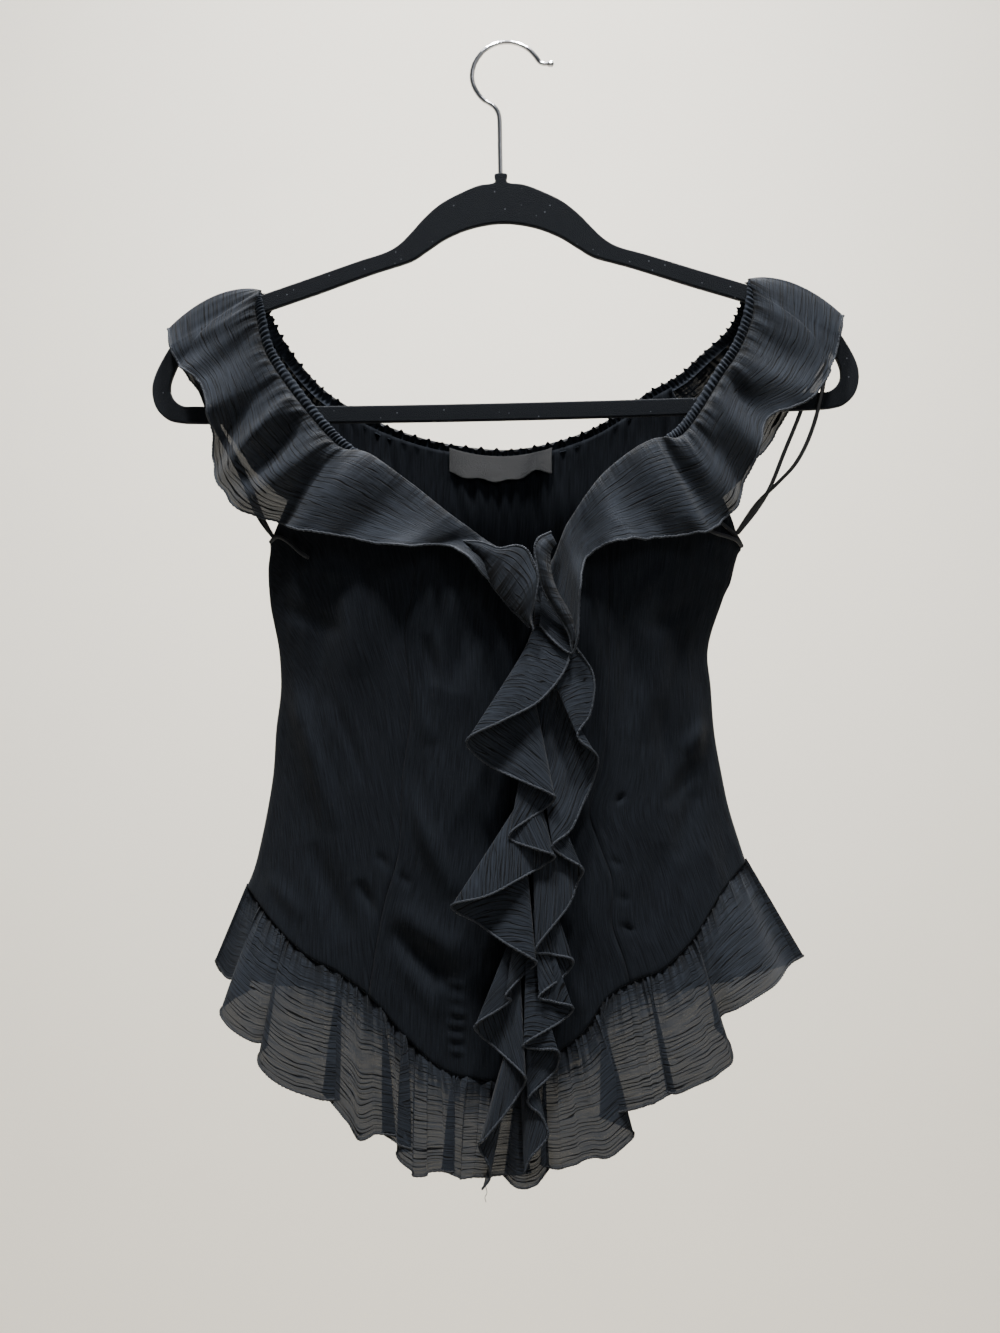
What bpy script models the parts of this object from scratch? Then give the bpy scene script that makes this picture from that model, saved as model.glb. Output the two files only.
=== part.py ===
"""Off-shoulder ruffle top on a slim flocked hanger, hung flat.

The front faces -Y and +Z is up. The origin is the inside of the hook's crown, where a rod or a wall
hook holds it. Every size is in millimetres until a mesh is made. The garment is built on one shallow
lens, which is the space between its front and its back; each panel, ruffle and frill is a sheet of
points laid on that lens or moved out from it, then given its wall.
"""

import math

import bpy
import numpy as np

MM = 0.001
NAME = "ruffle_top_on_hanger"

# Walls and gaps of the cloth
WALL = 1.2
THIN_WALL = 1.0
SEAM_GAP = 0.3
HALF_GAP = SEAM_GAP / 2
SIDE_SEAM_Y = 0.75
LENS_POWER = 3.0

# Hanger
PLATE = 5.0
PLATE_ROUND = 0.8
TILT = math.radians(1.3)
STEM_X = -5.75
WIRE = 3.0
BUTTON = 4.4
HANGER_CLEAR = 4.0

# Neck casing and collar
CASING_WIDTH = 6.0
UNDERARM = -314
V_FOOT_X = 22
V_FOOT_CUT = 3.0
COLLAR_OFF = 1.5
COLLAR_STAND = 5.0
COLLAR_PUFF = 6.0
COLLAR_WAVES = 23
COLLAR_WAVE = 8.0
COLLAR_COLUMNS = 147
COLLAR_ROWS = 7

# Hem ruffles
HEM_WAVE = 4.6
FRONT_HEM_WAVES = 9
BACK_HEM_WAVES = 15

# Rows of the body: height, left edge, right edge, depth of the front, depth of the back
BODY = (
    (-140, -175, 175, 4, 4),
    (-185, -216, 214, 11, 11),
    (-230, -214, 210, 19, 17),
    (-270, -184, 178, 26, 22),
    (-314, -149, 147, 31, 27),
    (-350, -149, 137, 34, 30),
    (-384, -143, 126, 36, 32),
    (-405, -142, 128, 36, 32),
    (-432, -145, 130, 36, 32),
    (-461, -147, 135, 37, 33),
    (-480, -150, 139, 38, 33),
    (-500, -154, 145, 39, 34),
    (-520, -159, 152, 40, 35),
    (-552, -174, 170, 41, 36),
    (-590, -194, 192, 42, 37),
    (-720, -200, 198, 44, 38),
)

# Front hem seam and back hem seam: across, height
FRONT_HEM = (
    (-164, -531), (-142, -554), (-124, -569), (-101, -580), (-81, -595), (-60, -618), (-37, -637),
    (-15, -642), (5, -643), (31, -625), (46, -613), (61, -593), (77, -583), (94, -577), (114, -559),
    (132, -534), (151, -515),
)
BACK_HEM = ((-164, -531), (-120, -538), (0, -541), (110, -536), (151, -516))

# Armholes of the front and of the back: across, height
FRONT_ARMHOLE = (
    (-149, -314.5), (-142, -300), (-132, -280), (-122, -262), (-112, -246), (-108, -200), (106, -200),
    (110, -246), (120, -262), (131, -280), (141, -300), (147, -315.5),
)
BACK_ARMHOLE = (
    (-149, -314.5), (-142, -298), (-130, -262), (-120, -240), (-112, -226), (-108, -190), (100, -190),
    (106, -216), (118, -240), (129, -262), (141, -298), (147, -315.5),
)

# Seams that divide the panels: height, across
FRONT_SEAM_LEFT = (
    (-250, -66), (-346, -58), (-365, -62), (-419, -59), (-461, -64), (-510, -67), (-534, -74),
    (-590, -84),
)
FRONT_SEAM_RIGHT = (
    (-250, 62), (-346, 62), (-406, 62), (-458, 57), (-482, 50), (-498, 55), (-520, 63), (-551, 64),
    (-568, 70), (-600, 78),
)
FRONT_OPENING = ((-320, 20), (-400, 16), (-500, 12), (-600, 7), (-650, 5))
BACK_SEAM_LEFT = ((-230, -40), (-300, -42), (-384, -48), (-460, -52), (-545, -62))
BACK_SEAM_RIGHT = ((-230, 58), (-300, 56), (-384, 48), (-460, 52), (-545, 62))

# Folds pressed into the front: from across, height, to across, height, half width, depth
FRONT_FOLDS = (
    (-138, -390, -106, -494, 7, 3.0),
    (-148, -352, -100, -372, 6, -1.8),
    (-66, -458, -32, -532, 7, 2.6),
    (-20, -350, -34, -408, 8, -2.0),
    (46, -345, 60, -400, 8, 2.0),
    (124, -404, 116, -474, 6, 2.4),
    (120, -348, 84, -372, 7, -1.8),
    (-120, -500, -96, -560, 8, -2.2),
    (96, -500, 84, -560, 8, -2.0),
)

# Collar: seam across, seam height, hem across, hem height, side, how far the hem stands off.
# Side is -1 in front, 0 over the top of a hanger arm and 1 behind.
COLLAR = (
    (22, -337, 19, -368, -1, 9),
    (27, -328, 38, -384, -1, 12),
    (34, -315, 42, -346, -1, 11),
    (42, -302, 47, -327, -1, 11),
    (51, -289, 62, -318, -1, 13),
    (62, -275, 82, -315, -1, 13),
    (79, -261, 104, -311, -1, 12),
    (96, -251, 122, -305, -1, 11),
    (107, -242, 138, -290, -1, 10),
    (117, -228, 149, -262, -1, 9),
    (130, -207, 160, -238, -1, 9),
    (140.5, -191, 184, -227, -1, 8),
    (148, -172, 202, -204, -1, 6),
    (151.5, -152, 208, -186, -1, 3),
    (152, -149.4, 210, -173, 0, 1),
    (151.5, -152, 208, -185, 1, 3),
    (147, -167, 203, -196, 1, 5),
    (140, -180, 190, -212, 1, 7),
    (125, -194, 176, -232, 1, 8),
    (110, -207, 160, -256, 1, 8),
    (92, -217, 138, -278, 1, 9),
    (72, -231, 104, -296, 1, 9),
    (52, -242, 68, -309, 1, 9),
    (27, -250, 35, -319, 1, 9),
    (0, -254, 0, -323, 1, 9),
    (-30, -251.5, -40, -320, 1, 9),
    (-57, -246, -72, -311, 1, 9),
    (-84, -236, -106, -299, 1, 9),
    (-110, -222, -144, -280, 1, 9),
    (-126, -208, -168, -252, 1, 8),
    (-141, -188, -188, -224, 1, 7),
    (-150, -170, -204, -206, 1, 5),
    (-154.5, -159, -210, -193, 1, 3),
    (-155, -156.4, -212, -181, 0, 1),
    (-154.5, -159, -210, -193, -1, 3),
    (-152, -170, -204, -204, -1, 6),
    (-147, -190, -190, -215, -1, 8),
    (-138, -206, -181, -234, -1, 9),
    (-124, -225, -182, -257, -1, 10),
    (-110, -242, -170, -278, -1, 10),
    (-98, -254, -147, -297, -1, 11),
    (-82, -266, -122, -306, -1, 12),
    (-60, -283, -91, -315, -1, 13),
    (-38, -302, -62, -323, -1, 13),
    (-21, -315, -34, -327, -1, 12),
    (-6, -326, -14, -342, -1, 11),
    (6, -332, 1, -357, -1, 11),
    (16, -337, 13, -369, -1, 10),
)

# Frill to the left and to the right of the opening: height on the seam, hem across, hem height,
# how far the hem stands off the body
FRILL_LEFT = (
    (-350, 4, -374, 7),
    (-359, -13, -396, 9),
    (-374, -22, -434, 12),
    (-390, 4, -428, 17),
    (-412, -12, -458, 12),
    (-430, 3, -478, 17),
    (-450, -6, -498, 12),
    (-466, -31, -534, 13),
    (-487, -1, -530, 17),
    (-508, -21, -554, 12),
    (-527, -1, -576, 17),
    (-552, -20, -606, 12),
    (-576, -3, -612, 17),
    (-596, -10, -636, 13),
    (-610, -19, -674, 14),
    (-622, -6, -672, 18),
    (-634, -15, -702, 16),
)
FRILL_RIGHT = (
    (-350, 28, -376, 7),
    (-359, 42, -402, 9),
    (-376, 54, -443, 12),
    (-394, 33, -442, 17),
    (-420, 42, -474, 12),
    (-442, 31, -502, 14),
    (-463, 43, -520, 12),
    (-488, 28, -546, 14),
    (-513, 38, -572, 12),
    (-540, 26, -596, 13),
    (-566, 35, -618, 12),
    (-590, 22, -644, 13),
    (-612, 18, -668, 14),
    (-634, 15, -692, 14),
)

# Hem ruffles: seam across, hem across, hem height, how far the hem stands off
HEM_LEFT = (
    (-164, -191, -585, 1),
    (-154, -182, -610, 3),
    (-140, -160, -627, 5),
    (-122, -142, -646, 6),
    (-101, -121, -654, 7),
    (-81, -98, -662, 7),
    (-60, -78, -675, 7),
    (-37, -54, -689, 6),
    (-15, -26, -694, 4),
    (4.5, 1, -695, 2),
)
HEM_RIGHT = (
    (5.5, 3, -695, 2),
    (18, 20, -696, 4),
    (31, 38, -689, 6),
    (46, 58, -682, 7),
    (61, 75, -671, 7),
    (77, 90, -656, 7),
    (94, 112, -649, 6),
    (114, 134, -638, 5),
    (132, 151, -610, 4),
    (143, 172, -594, 3),
    (151, 190, -580, 1),
)
HEM_BACK = (
    (-164, -191, -585, 1),
    (-140, -168, -603, 4),
    (-100, -122, -608, 6),
    (-50, -60, -610, 6),
    (0, 0, -611, 6),
    (50, 60, -610, 6),
    (100, 122, -607, 6),
    (130, 165, -599, 4),
    (151, 190, -580, 1),
)

# Half of the plate, seen from the front: away from the stem, height
PLATE_OUTSIDE = (
    (3.8, -81.7), (4.2, -87.0), (14, -88.6), (24, -92.4), (37.8, -99.3), (48.5, -108.0),
    (56.9, -116.9), (64.5, -124.2), (73.8, -129.5), (91.4, -134.8), (122, -144.8), (154, -155.1),
    (188, -166.6), (203, -176), (210.8, -186), (219.5, -201), (222.8, -212.5), (220.6, -224),
    (213.8, -231.5), (205, -234.1), (120, -236.2), (40, -237),
)
PLATE_WINDOW = (
    (7, -113.2), (22.5, -116.4), (36.3, -122.2), (47, -129), (57, -135.2), (70, -139.3),
    (80, -142.2), (99, -148.5), (118, -155), (148.4, -164.7), (186, -177.6), (200, -187),
    (207.6, -201), (211, -210.3), (210, -217.9), (203.9, -223.2), (120, -225.4), (40, -226),
)

# Wire of the hook: across, height
HOOK = (
    (-4.1, -81.4), (-4.4, -66), (-4.6, -51), (-5.3, -43.5), (-8.4, -38.6), (-15.0, -34.4),
    (-19.8, -28.2), (-22.1, -20.8), (-20.5, -11.8), (-14.4, -3.4), (-5.4, 1.1), (4.2, 1.4),
    (12.6, -2.0), (17.6, -6.6), (20.4, -10.4), (22.6, -11.8), (25.6, -12.0),
)

# Ribbon loops, one half from the underarm to the top of the arm: across, forward, height
LOOP_LEFT = (
    (-150.8, 1.3, -311.2), (-154, 2.2, -298), (-165, 4.1, -271), (-180, 4.5, -244), (-194, 4.5, -216),
    (-200.5, 4.3, -192), (-201, 4.2, -181), (-201, 3.2, -177.4), (-201, 1.6, -176.2), (-201, 0, -176),
)
LOOP_RIGHT = (
    (149, 1.3, -312.2), (152.5, 2.2, -301), (164, 4.1, -281), (184, 4.5, -256), (197, 4.5, -222),
    (199, 4.3, -190), (199, 4.2, -173), (199, 3.2, -169.4), (199, 1.6, -168.2), (199, 0, -168),
)
LOOP_WIDTH = 3.0


def read(rows, at, column=1):
    """One column of a table, read smoothly at a value of the table's first column."""
    table = np.array(sorted(rows), float)
    x = table[:, 0]
    y = table[:, column]
    slope = np.gradient(y, x)
    at = np.clip(at, x[0], x[-1])
    i = np.clip(np.searchsorted(x, at) - 1, 0, len(x) - 2)
    w = x[i + 1] - x[i]
    f = (at - x[i]) / w
    g = 1 - f
    start = y[i] * (1 + 2 * f) * g * g + slope[i] * w * f * g * g
    return start + y[i + 1] * f * f * (3 - 2 * f) - slope[i + 1] * w * f * f * g


def follow(rows, along):
    """The rows of a table as one smooth curve, from 0 at the first row to 1 at the last."""
    table = np.array(rows, float)
    t = np.clip(along, 0, 1) * (len(table) - 1)
    i = np.minimum(t.astype(int), len(table) - 2)
    f = (t - i)[..., None]
    first, last = table[i], table[i + 1]
    slope_1 = (last - table[np.maximum(i - 1, 0)]) / 2
    slope_2 = (table[np.minimum(i + 2, len(table) - 1)] - first) / 2
    g = 1 - f
    start = first * (1 + 2 * f) * g * g + slope_1 * f * g * g
    return start + last * f * f * (3 - 2 * f) - slope_2 * f * f * g


def lens(x, z, side):
    """How far the body stands from the middle plane, in front (side -1) or behind (side 1)."""
    left = read(BODY, z, 1)
    right = read(BODY, z, 2)
    front = read(BODY, z, 3)
    back = read(BODY, z, 4)
    across = np.clip(np.abs((2 * x - left - right) / (right - left)), 0, 1)
    depth = np.where(side < 0, front, back)
    return SIDE_SEAM_Y + depth * (1 - across**LENS_POWER)


def folds(x, z):
    """The large folds of the front, as a change of its depth."""
    total = np.zeros(np.broadcast(x, z).shape)
    for x0, z0, x1, z1, half, depth in FRONT_FOLDS:
        run = math.hypot(x1 - x0, z1 - z0)
        ux, uz = (x1 - x0) / run, (z1 - z0) / run
        along = ((x - x0) * ux + (z - z0) * uz) / run
        off = (x - x0) * uz - (z - z0) * ux
        ends = np.clip(1 - (2 * along - 1) ** 2, 0, 1)
        total += depth * np.exp(-((off / half) ** 2)) * ends
    return total


def normals(grid):
    """Unit normals of a sheet of points, rows by columns."""
    down = np.gradient(grid, axis=0)
    along = np.gradient(grid, axis=1)
    n = np.cross(along, down)
    return n / np.maximum(np.linalg.norm(n, axis=2, keepdims=True), 1e-9)


def uneven(u, waves, seed):
    """A wave count that speeds up and slows down along a strip."""
    drift = 0.32 * np.sin(2 * math.pi * (2.3 * u + seed)) + 0.21 * np.sin(2 * math.pi * (5.1 * u + 2 * seed))
    return 2 * math.pi * (waves * u + drift)


def collection_named(name):
    found = bpy.data.collections.new(name)
    bpy.context.scene.collection.children.link(found)
    return found


def material(name, colour, roughness, metallic=0.0):
    made = bpy.data.materials.new(name)
    made.use_nodes = True
    shader = made.node_tree.nodes["Principled BSDF"]
    shader.inputs["Base Color"].default_value = (*colour, 1.0)
    shader.inputs["Roughness"].default_value = roughness
    shader.inputs["Metallic"].default_value = metallic
    return made


def cloth(name, grid, wall, group, finish):
    """A sheet of points, rows by columns, as a smooth solid with a wall of even thickness."""
    rows, columns = grid.shape[:2]
    points = (grid.reshape(-1, 3) * MM).tolist()
    faces = []
    for r in range(rows - 1):
        for c in range(columns - 1):
            a = r * columns + c
            faces.append((a, a + columns, a + columns + 1, a + 1))
    mesh = bpy.data.meshes.new(name)
    mesh.from_pydata(points, [], faces)
    mesh.materials.append(finish)
    made = bpy.data.objects.new(name, mesh)
    group.objects.link(made)
    for face in mesh.polygons:
        face.use_smooth = True
    thicken = made.modifiers.new("wall", "SOLIDIFY")
    thicken.thickness = wall * MM
    thicken.offset = 0.0
    thicken.use_even_offset = False
    return made


def collar_base(columns, rows):
    """The collar's strip before its waves: rows from the seam to the hem, and the numbers of each column."""
    u = np.linspace(0, 1, columns)
    v = np.linspace(0, 1, rows) ** 1.15
    table = follow(COLLAR, u)
    seam_x, seam_z, hem_x, hem_z, side, off = table.T
    x = seam_x + (hem_x - seam_x) * v[:, None]
    z = seam_z + (hem_z - seam_z) * v[:, None]
    over = np.clip(1 - np.abs(side), 0, 1)
    z = z + 9 * over * 4 * v[:, None] * (1 - v[:, None])
    where = np.where(side < 0, -1, 1)
    depth = np.maximum(lens(x, z, where), HANGER_CLEAR)
    y = np.clip(side, -1, 1) * depth
    return np.stack([x, y, z], axis=2), u, v, off


def casing_sheet(columns, width=CASING_WIDTH):
    """The neck's casing: a band on the lens, as wide as its elastic, from one end of the V to the other."""
    u = np.linspace(0, 1, columns)
    table = follow(COLLAR, u)
    seam_x, seam_z, hem_x, hem_z, side, off = table.T
    run = np.hypot(hem_x - seam_x, hem_z - seam_z)
    w = np.linspace(0, width, 3)[:, None]
    x = seam_x + (hem_x - seam_x) / run * w
    z = seam_z + (hem_z - seam_z) / run * w
    where = np.where(side < 0, -1, 1)
    y = np.clip(side, -1, 1) * np.maximum(lens(x, z, where), HANGER_CLEAR)
    return np.stack([x, y, z], axis=2)


def collar_sheet():
    """The collar ruffle: it stands up from the seam, turns over and falls in waves that grow to the hem."""
    grid, u, v, off = collar_base(COLLAR_COLUMNS, COLLAR_ROWS)
    out = normals(grid)
    front = out[:, :, 1] * np.sign(grid[:, :, 1] + 1e-6)
    if front.mean() < 0:
        out = -out
    v = v[:, None]
    up = -np.gradient(grid, axis=0)
    up = up / np.linalg.norm(up, axis=2, keepdims=True)
    stand = COLLAR_STAND * (v / 0.14) * np.exp(1 - v / 0.14)
    puff = COLLAR_PUFF * (1 - np.exp(-v / 0.12)) * np.exp(-v / 0.9)
    ends = np.clip(np.minimum(u, 1 - u) / 0.05, 0, 1)
    swing = np.sin(uneven(u, COLLAR_WAVES, 0.13)) * (0.8 + 0.2 * np.sin(17 * u))
    small = np.minimum(off / 10, 1.0)
    wave = COLLAR_WAVE * swing * ends * small * v**1.2
    shift = COLLAR_OFF + puff * small * ends + off * v**1.4 + wave
    return grid + out * shift[..., None] + up * (stand * ends * small)[..., None]


def top_edge(x, side):
    """Height of the top edge of the body: the underside of the casing, or the armhole."""
    casing = casing_sheet(400, CASING_WIDTH + 3 * SEAM_GAP)[2]
    keep = casing[:, 1] * side > HANGER_CLEAR + 0.5
    line = casing[keep]
    order = np.argsort(line[:, 0])
    neck = np.interp(x, line[order, 0], line[order, 2])
    table = np.array(FRONT_ARMHOLE if side < 0 else BACK_ARMHOLE)
    if side < 0:
        neck = neck - V_FOOT_CUT * np.exp(-(((x - V_FOOT_X) / 14) ** 2))
    return np.minimum(neck, np.interp(x, table[:, 0], table[:, 1]))


def panel_sheet(left, right, hem, side, columns, rows):
    """A body panel between two seams, from the top edge to the hem seam."""
    s = np.linspace(0, 1, columns)[None, :]
    t = np.linspace(0, 1, rows)[:, None]
    z = np.full((rows, columns), -420.0)
    for _ in range(12):
        low = left(z) + HALF_GAP
        high = right(z) - HALF_GAP
        x = low + (high - low) * s
        top = top_edge(x, side)
        z = top + (read(hem, x) + SEAM_GAP - top) * t
    depth = lens(x, z, side)
    if side < 0:
        inner = np.clip(np.minimum(s, 1 - s) * 6, 0, 1)
        depth = depth + folds(x, z) * inner
    return np.stack([x, side * depth, z], axis=2)


def frill_sheet(table, side_x, stand_at_seam, columns, rows):
    """A falling frill: straight along its seam, its hem swinging out and back in lobes."""
    u = np.linspace(0, 1, columns)
    v = np.linspace(0, 1, rows)[:, None]
    seam_z, hem_x, hem_z, off = follow(table, u).T
    seam_x = read(FRONT_OPENING, seam_z) + side_x * 1.6
    x = seam_x + (hem_x - seam_x) * v
    z = seam_z + (hem_z - seam_z) * v**0.85
    stand = stand_at_seam + (off - stand_at_seam) * v
    return np.stack([x, -lens(x, z, -1) - stand, z], axis=2)


def hem_sheet(table, hem, side, waves, columns, rows, seed):
    """A hem ruffle: gathered at its seam, in waves that grow to its edge."""
    u = np.linspace(0, 1, columns)
    v = np.linspace(0, 1, rows)[:, None]
    seam_x, hem_x, hem_z, off = follow(table, u).T
    x = seam_x + (hem_x - seam_x) * v
    top = read(hem, seam_x) - 2 * SEAM_GAP
    z = top + (hem_z - top) * v
    ends = np.clip(np.minimum(u, 1 - u) / 0.06, 0, 1)
    swing = np.sin(uneven(u, waves, seed)) * (0.85 + 0.15 * np.sin(11 * u))
    shift = off * v + HEM_WAVE * swing * ends * v**0.8 * np.clip(v * 8, 0, 1)
    return np.stack([x, side * (lens(x, z, side) + shift), z], axis=2)


def loop_sheet(half, lean):
    """A ribbon from the underarm up the front of the arm, over it and down behind."""
    path = follow(half, np.linspace(0, 1, 16))
    front = path * np.array([1, -1, 1])
    back = path[::-1][1:]
    line = np.concatenate([front, back])
    width = np.array([math.cos(lean), 0, math.sin(lean)]) * LOOP_WIDTH / 2
    return np.stack([line - width, line + width])


def label_sheet():
    """The bare label, held by its upper corners inside the back of the neck, sagging between them."""
    s = np.linspace(0, 1, 9)[None, :]
    t = np.linspace(0, 1, 4)[:, None]
    x = -37 + 66 * s + 0 * t
    z = -251.5 - 16 * t - 5.5 * 4 * s * (1 - s)
    return np.stack([x, lens(x, z, 1) - 1.4 - 1.5 * t * 4 * s * (1 - s), z], axis=2)


def hanger_point(away, height, side):
    """A point of the hanger, given from its stem, turned with the hanger's slight tilt."""
    x = STEM_X + side * away
    turned_x = x * math.cos(TILT) - height * math.sin(TILT)
    turned_z = x * math.sin(TILT) + height * math.cos(TILT)
    return turned_x, turned_z


def outline(half):
    right = [hanger_point(a, h, 1) for a, h in half]
    left = [hanger_point(a, h, -1) for a, h in reversed(half)]
    return right + left


def hanger_frame(group, finish):
    """The flat plate: one outline with its window, pushed out to both sides."""
    curve = bpy.data.curves.new("hanger_frame", "CURVE")
    curve.dimensions = "2D"
    curve.fill_mode = "BOTH"
    curve.extrude = (PLATE / 2 - PLATE_ROUND) * MM
    curve.bevel_depth = PLATE_ROUND * MM
    curve.bevel_resolution = 0
    curve.offset = -PLATE_ROUND * MM
    for half in (PLATE_OUTSIDE, PLATE_WINDOW):
        points = outline(half)
        line = curve.splines.new("POLY")
        line.points.add(len(points) - 1)
        for point, (x, z) in zip(line.points, points):
            point.co = (x * MM, z * MM, 0, 1)
        line.use_cyclic_u = True
    curve.materials.append(finish)
    made = bpy.data.objects.new("hanger_frame", curve)
    made.rotation_euler = (math.radians(90), 0, 0)
    group.objects.link(made)
    return made


def hanger_hook(group, finish):
    """The round wire of the hook, with a rounded button on its tip."""
    points = follow(HOOK, np.linspace(0, 1, 41))
    table = [(x, z, WIRE / 2) for x, z in points]
    tip_x, tip_z, _ = table[-1]
    for step in (1, 2, 3, 4, 5):
        turn = math.pi * step / 6
        table.append((tip_x + 0.2 + 1.6 * (1 - math.cos(turn)), tip_z, WIRE / 2 + 0.7 * math.sin(turn)))
    table.append((tip_x + 4.0, tip_z, 0.5))
    curve = bpy.data.curves.new("hanger_hook", "CURVE")
    curve.dimensions = "3D"
    curve.bevel_depth = 1.0 * MM
    curve.bevel_resolution = 2
    curve.use_fill_caps = True
    line = curve.splines.new("POLY")
    line.points.add(len(table) - 1)
    for point, (x, z, radius) in zip(line.points, table):
        point.co = (x * MM, 0, z * MM, 1)
        point.radius = radius
    line.use_smooth = True
    curve.materials.append(finish)
    made = bpy.data.objects.new("hanger_hook", curve)
    group.objects.link(made)
    return made


def main():
    for old in list(bpy.data.objects):
        bpy.data.objects.remove(old, do_unlink=True)
    group = collection_named(NAME)
    lined = material("lined_crepe", (0.020, 0.020, 0.022), 0.85)
    sheer = material("crinkle_chiffon", (0.030, 0.030, 0.032), 0.80)
    ruched = material("ruched_casing", (0.016, 0.016, 0.018), 0.88)
    woven = material("woven_label", (0.060, 0.060, 0.066), 0.60)
    ribbon = material("satin_ribbon", (0.012, 0.012, 0.014), 0.45)
    flock = material("black_flock", (0.008, 0.008, 0.012), 0.95)
    plated = material("plated_wire", (0.62, 0.62, 0.64), 0.18, 1.0)

    hanger_frame(group, flock)
    hanger_hook(group, plated)

    def line(rows):
        return lambda z: read(rows, z)

    def edge(column):
        return lambda z: read(BODY, np.minimum(z, UNDERARM), column)

    panels = (
        ("front_side_left", edge(1), line(FRONT_SEAM_LEFT), FRONT_HEM, -1, 11, 16),
        ("front_centre_left", line(FRONT_SEAM_LEFT), line(FRONT_OPENING), FRONT_HEM, -1, 10, 16),
        ("front_centre_right", line(FRONT_OPENING), line(FRONT_SEAM_RIGHT), FRONT_HEM, -1, 8, 16),
        ("front_side_right", line(FRONT_SEAM_RIGHT), edge(2), FRONT_HEM, -1, 10, 16),
        ("back_side_left", edge(1), line(BACK_SEAM_LEFT), BACK_HEM, 1, 10, 12),
        ("back_centre", line(BACK_SEAM_LEFT), line(BACK_SEAM_RIGHT), BACK_HEM, 1, 11, 12),
        ("back_side_right", line(BACK_SEAM_RIGHT), edge(2), BACK_HEM, 1, 10, 12),
    )
    for name, left, right, hem, side, columns, rows in panels:
        cloth(name, panel_sheet(left, right, hem, side, columns, rows), WALL, group, lined)

    cloth("neck_elastic", casing_sheet(97), THIN_WALL, group, ruched)
    cloth("collar_ruffle", collar_sheet(), WALL, group, sheer)
    cloth("frill_left", frill_sheet(FRILL_LEFT, -1, 1.6, 65, 6), WALL, group, sheer)
    cloth("frill_right", frill_sheet(FRILL_RIGHT, 1, 1.6, 57, 6), WALL, group, sheer)
    cloth("hem_ruffle_left", hem_sheet(HEM_LEFT, FRONT_HEM, -1, FRONT_HEM_WAVES, 55, 5, 0.2), WALL, group, sheer)
    cloth("hem_ruffle_right", hem_sheet(HEM_RIGHT, FRONT_HEM, -1, FRONT_HEM_WAVES, 55, 5, 0.6), WALL, group, sheer)
    cloth("hem_ruffle_back", hem_sheet(HEM_BACK, BACK_HEM, 1, BACK_HEM_WAVES, 91, 4, 0.4), WALL, group, sheer)
    cloth("neck_label", label_sheet(), THIN_WALL, group, woven)
    cloth("hang_loop_left", loop_sheet(LOOP_LEFT, math.radians(20)), THIN_WALL, group, ribbon)
    cloth("hang_loop_right", loop_sheet(LOOP_RIGHT, math.radians(-17)), THIN_WALL, group, ribbon)


main()
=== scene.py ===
"""Off-shoulder ruffle top in black crinkled chiffon, on a slim flocked hanger."""

import math

import bpy
import numpy as np
from bpy.props import FloatProperty, FloatVectorProperty, IntProperty, PointerProperty
from bpy.types import Operator, Panel, PropertyGroup
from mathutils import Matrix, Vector


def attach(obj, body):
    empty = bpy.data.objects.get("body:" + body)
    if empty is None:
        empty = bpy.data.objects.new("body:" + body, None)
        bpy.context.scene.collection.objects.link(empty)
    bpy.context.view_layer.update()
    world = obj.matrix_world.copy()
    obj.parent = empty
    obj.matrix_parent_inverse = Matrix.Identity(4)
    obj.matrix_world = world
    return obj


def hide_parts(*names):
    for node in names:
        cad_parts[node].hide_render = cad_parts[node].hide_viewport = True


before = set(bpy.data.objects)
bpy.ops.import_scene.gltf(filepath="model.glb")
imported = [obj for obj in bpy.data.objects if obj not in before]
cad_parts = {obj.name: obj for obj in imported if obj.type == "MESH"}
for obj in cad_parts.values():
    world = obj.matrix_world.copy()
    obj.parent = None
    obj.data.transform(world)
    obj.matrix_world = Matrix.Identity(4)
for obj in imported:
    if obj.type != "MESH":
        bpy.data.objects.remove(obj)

bl_info = {
    "name": "Ruffle Top on a Hanger",
    "version": (1, 0, 0),
    "blender": (4, 5, 0),
    "location": "View3D > Sidebar > Ruffle Top",
    "description": "Builds an off-shoulder ruffle top on a flocked hanger, and its stage",
    "category": "Object",
}

MM = 0.001

# The tables below are in millimetres, with the front towards -Y and the hook's crown at the origin.

# Seams: gaps, laps and grooves, and where they run
SEAM_GAP = 0.3
SEAM_LAP = 0.5
SEAM_FADE = 14
SEAM_GROOVE = 0.7
SIDE_SEAM_Y = 0.75
SIDE_SEAM_LEFT = -164
SIDE_SEAM_RIGHT = 151
UNDERARM = -314
V_FOOT_X = 22
MEETING = 5

# Body: how flat it is from side to side, and the gathers that fall from its top edge
LENS_POWER = 3.0
GATHERS_APART = 8.5
GATHERS_REACH = 50

# Casing and collar
CASING_WIDTH = 6.0
CASING_LAP = 2.5
HANGER_CLEAR = 4.0
COLLAR_EASE = 1.15
COLLAR_CROWN = 9
COLLAR_ROLL = 6.5
COLLAR_PUFF = 7.0

# Frills and hem ruffles
FRILL_APART = 1.6
FRILL_INNER_RADIUS = 14.0
HEM_EASE = 1.3
HEM_TUCK = 2.0

# Numbers of waves along each strip. The hem has its own for the front and the back.
COLLAR_WAVES = 23
COLLAR_PUCKERS = 108
COLLAR_RIPPLES = 64
FRILL_RIPPLES = 60
HEM_GATHERS = {-1: 38, 1: 66}

# Label, walls and threads
LABEL_LEFT = -37
LABEL_WIDTH = 66
LABEL_TOP = -251.5
LABEL_DROP = 16
PANEL_WALL = 0.9
LABEL_WALL = 0.5
RIBBON_WALL = 0.4
RIBBON_HALF_WIDTH = 1.3
EDGE_ROUGH = 0.22
BINDING_RADIUS = 1.2
THREAD_RADIUS = 0.2

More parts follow.
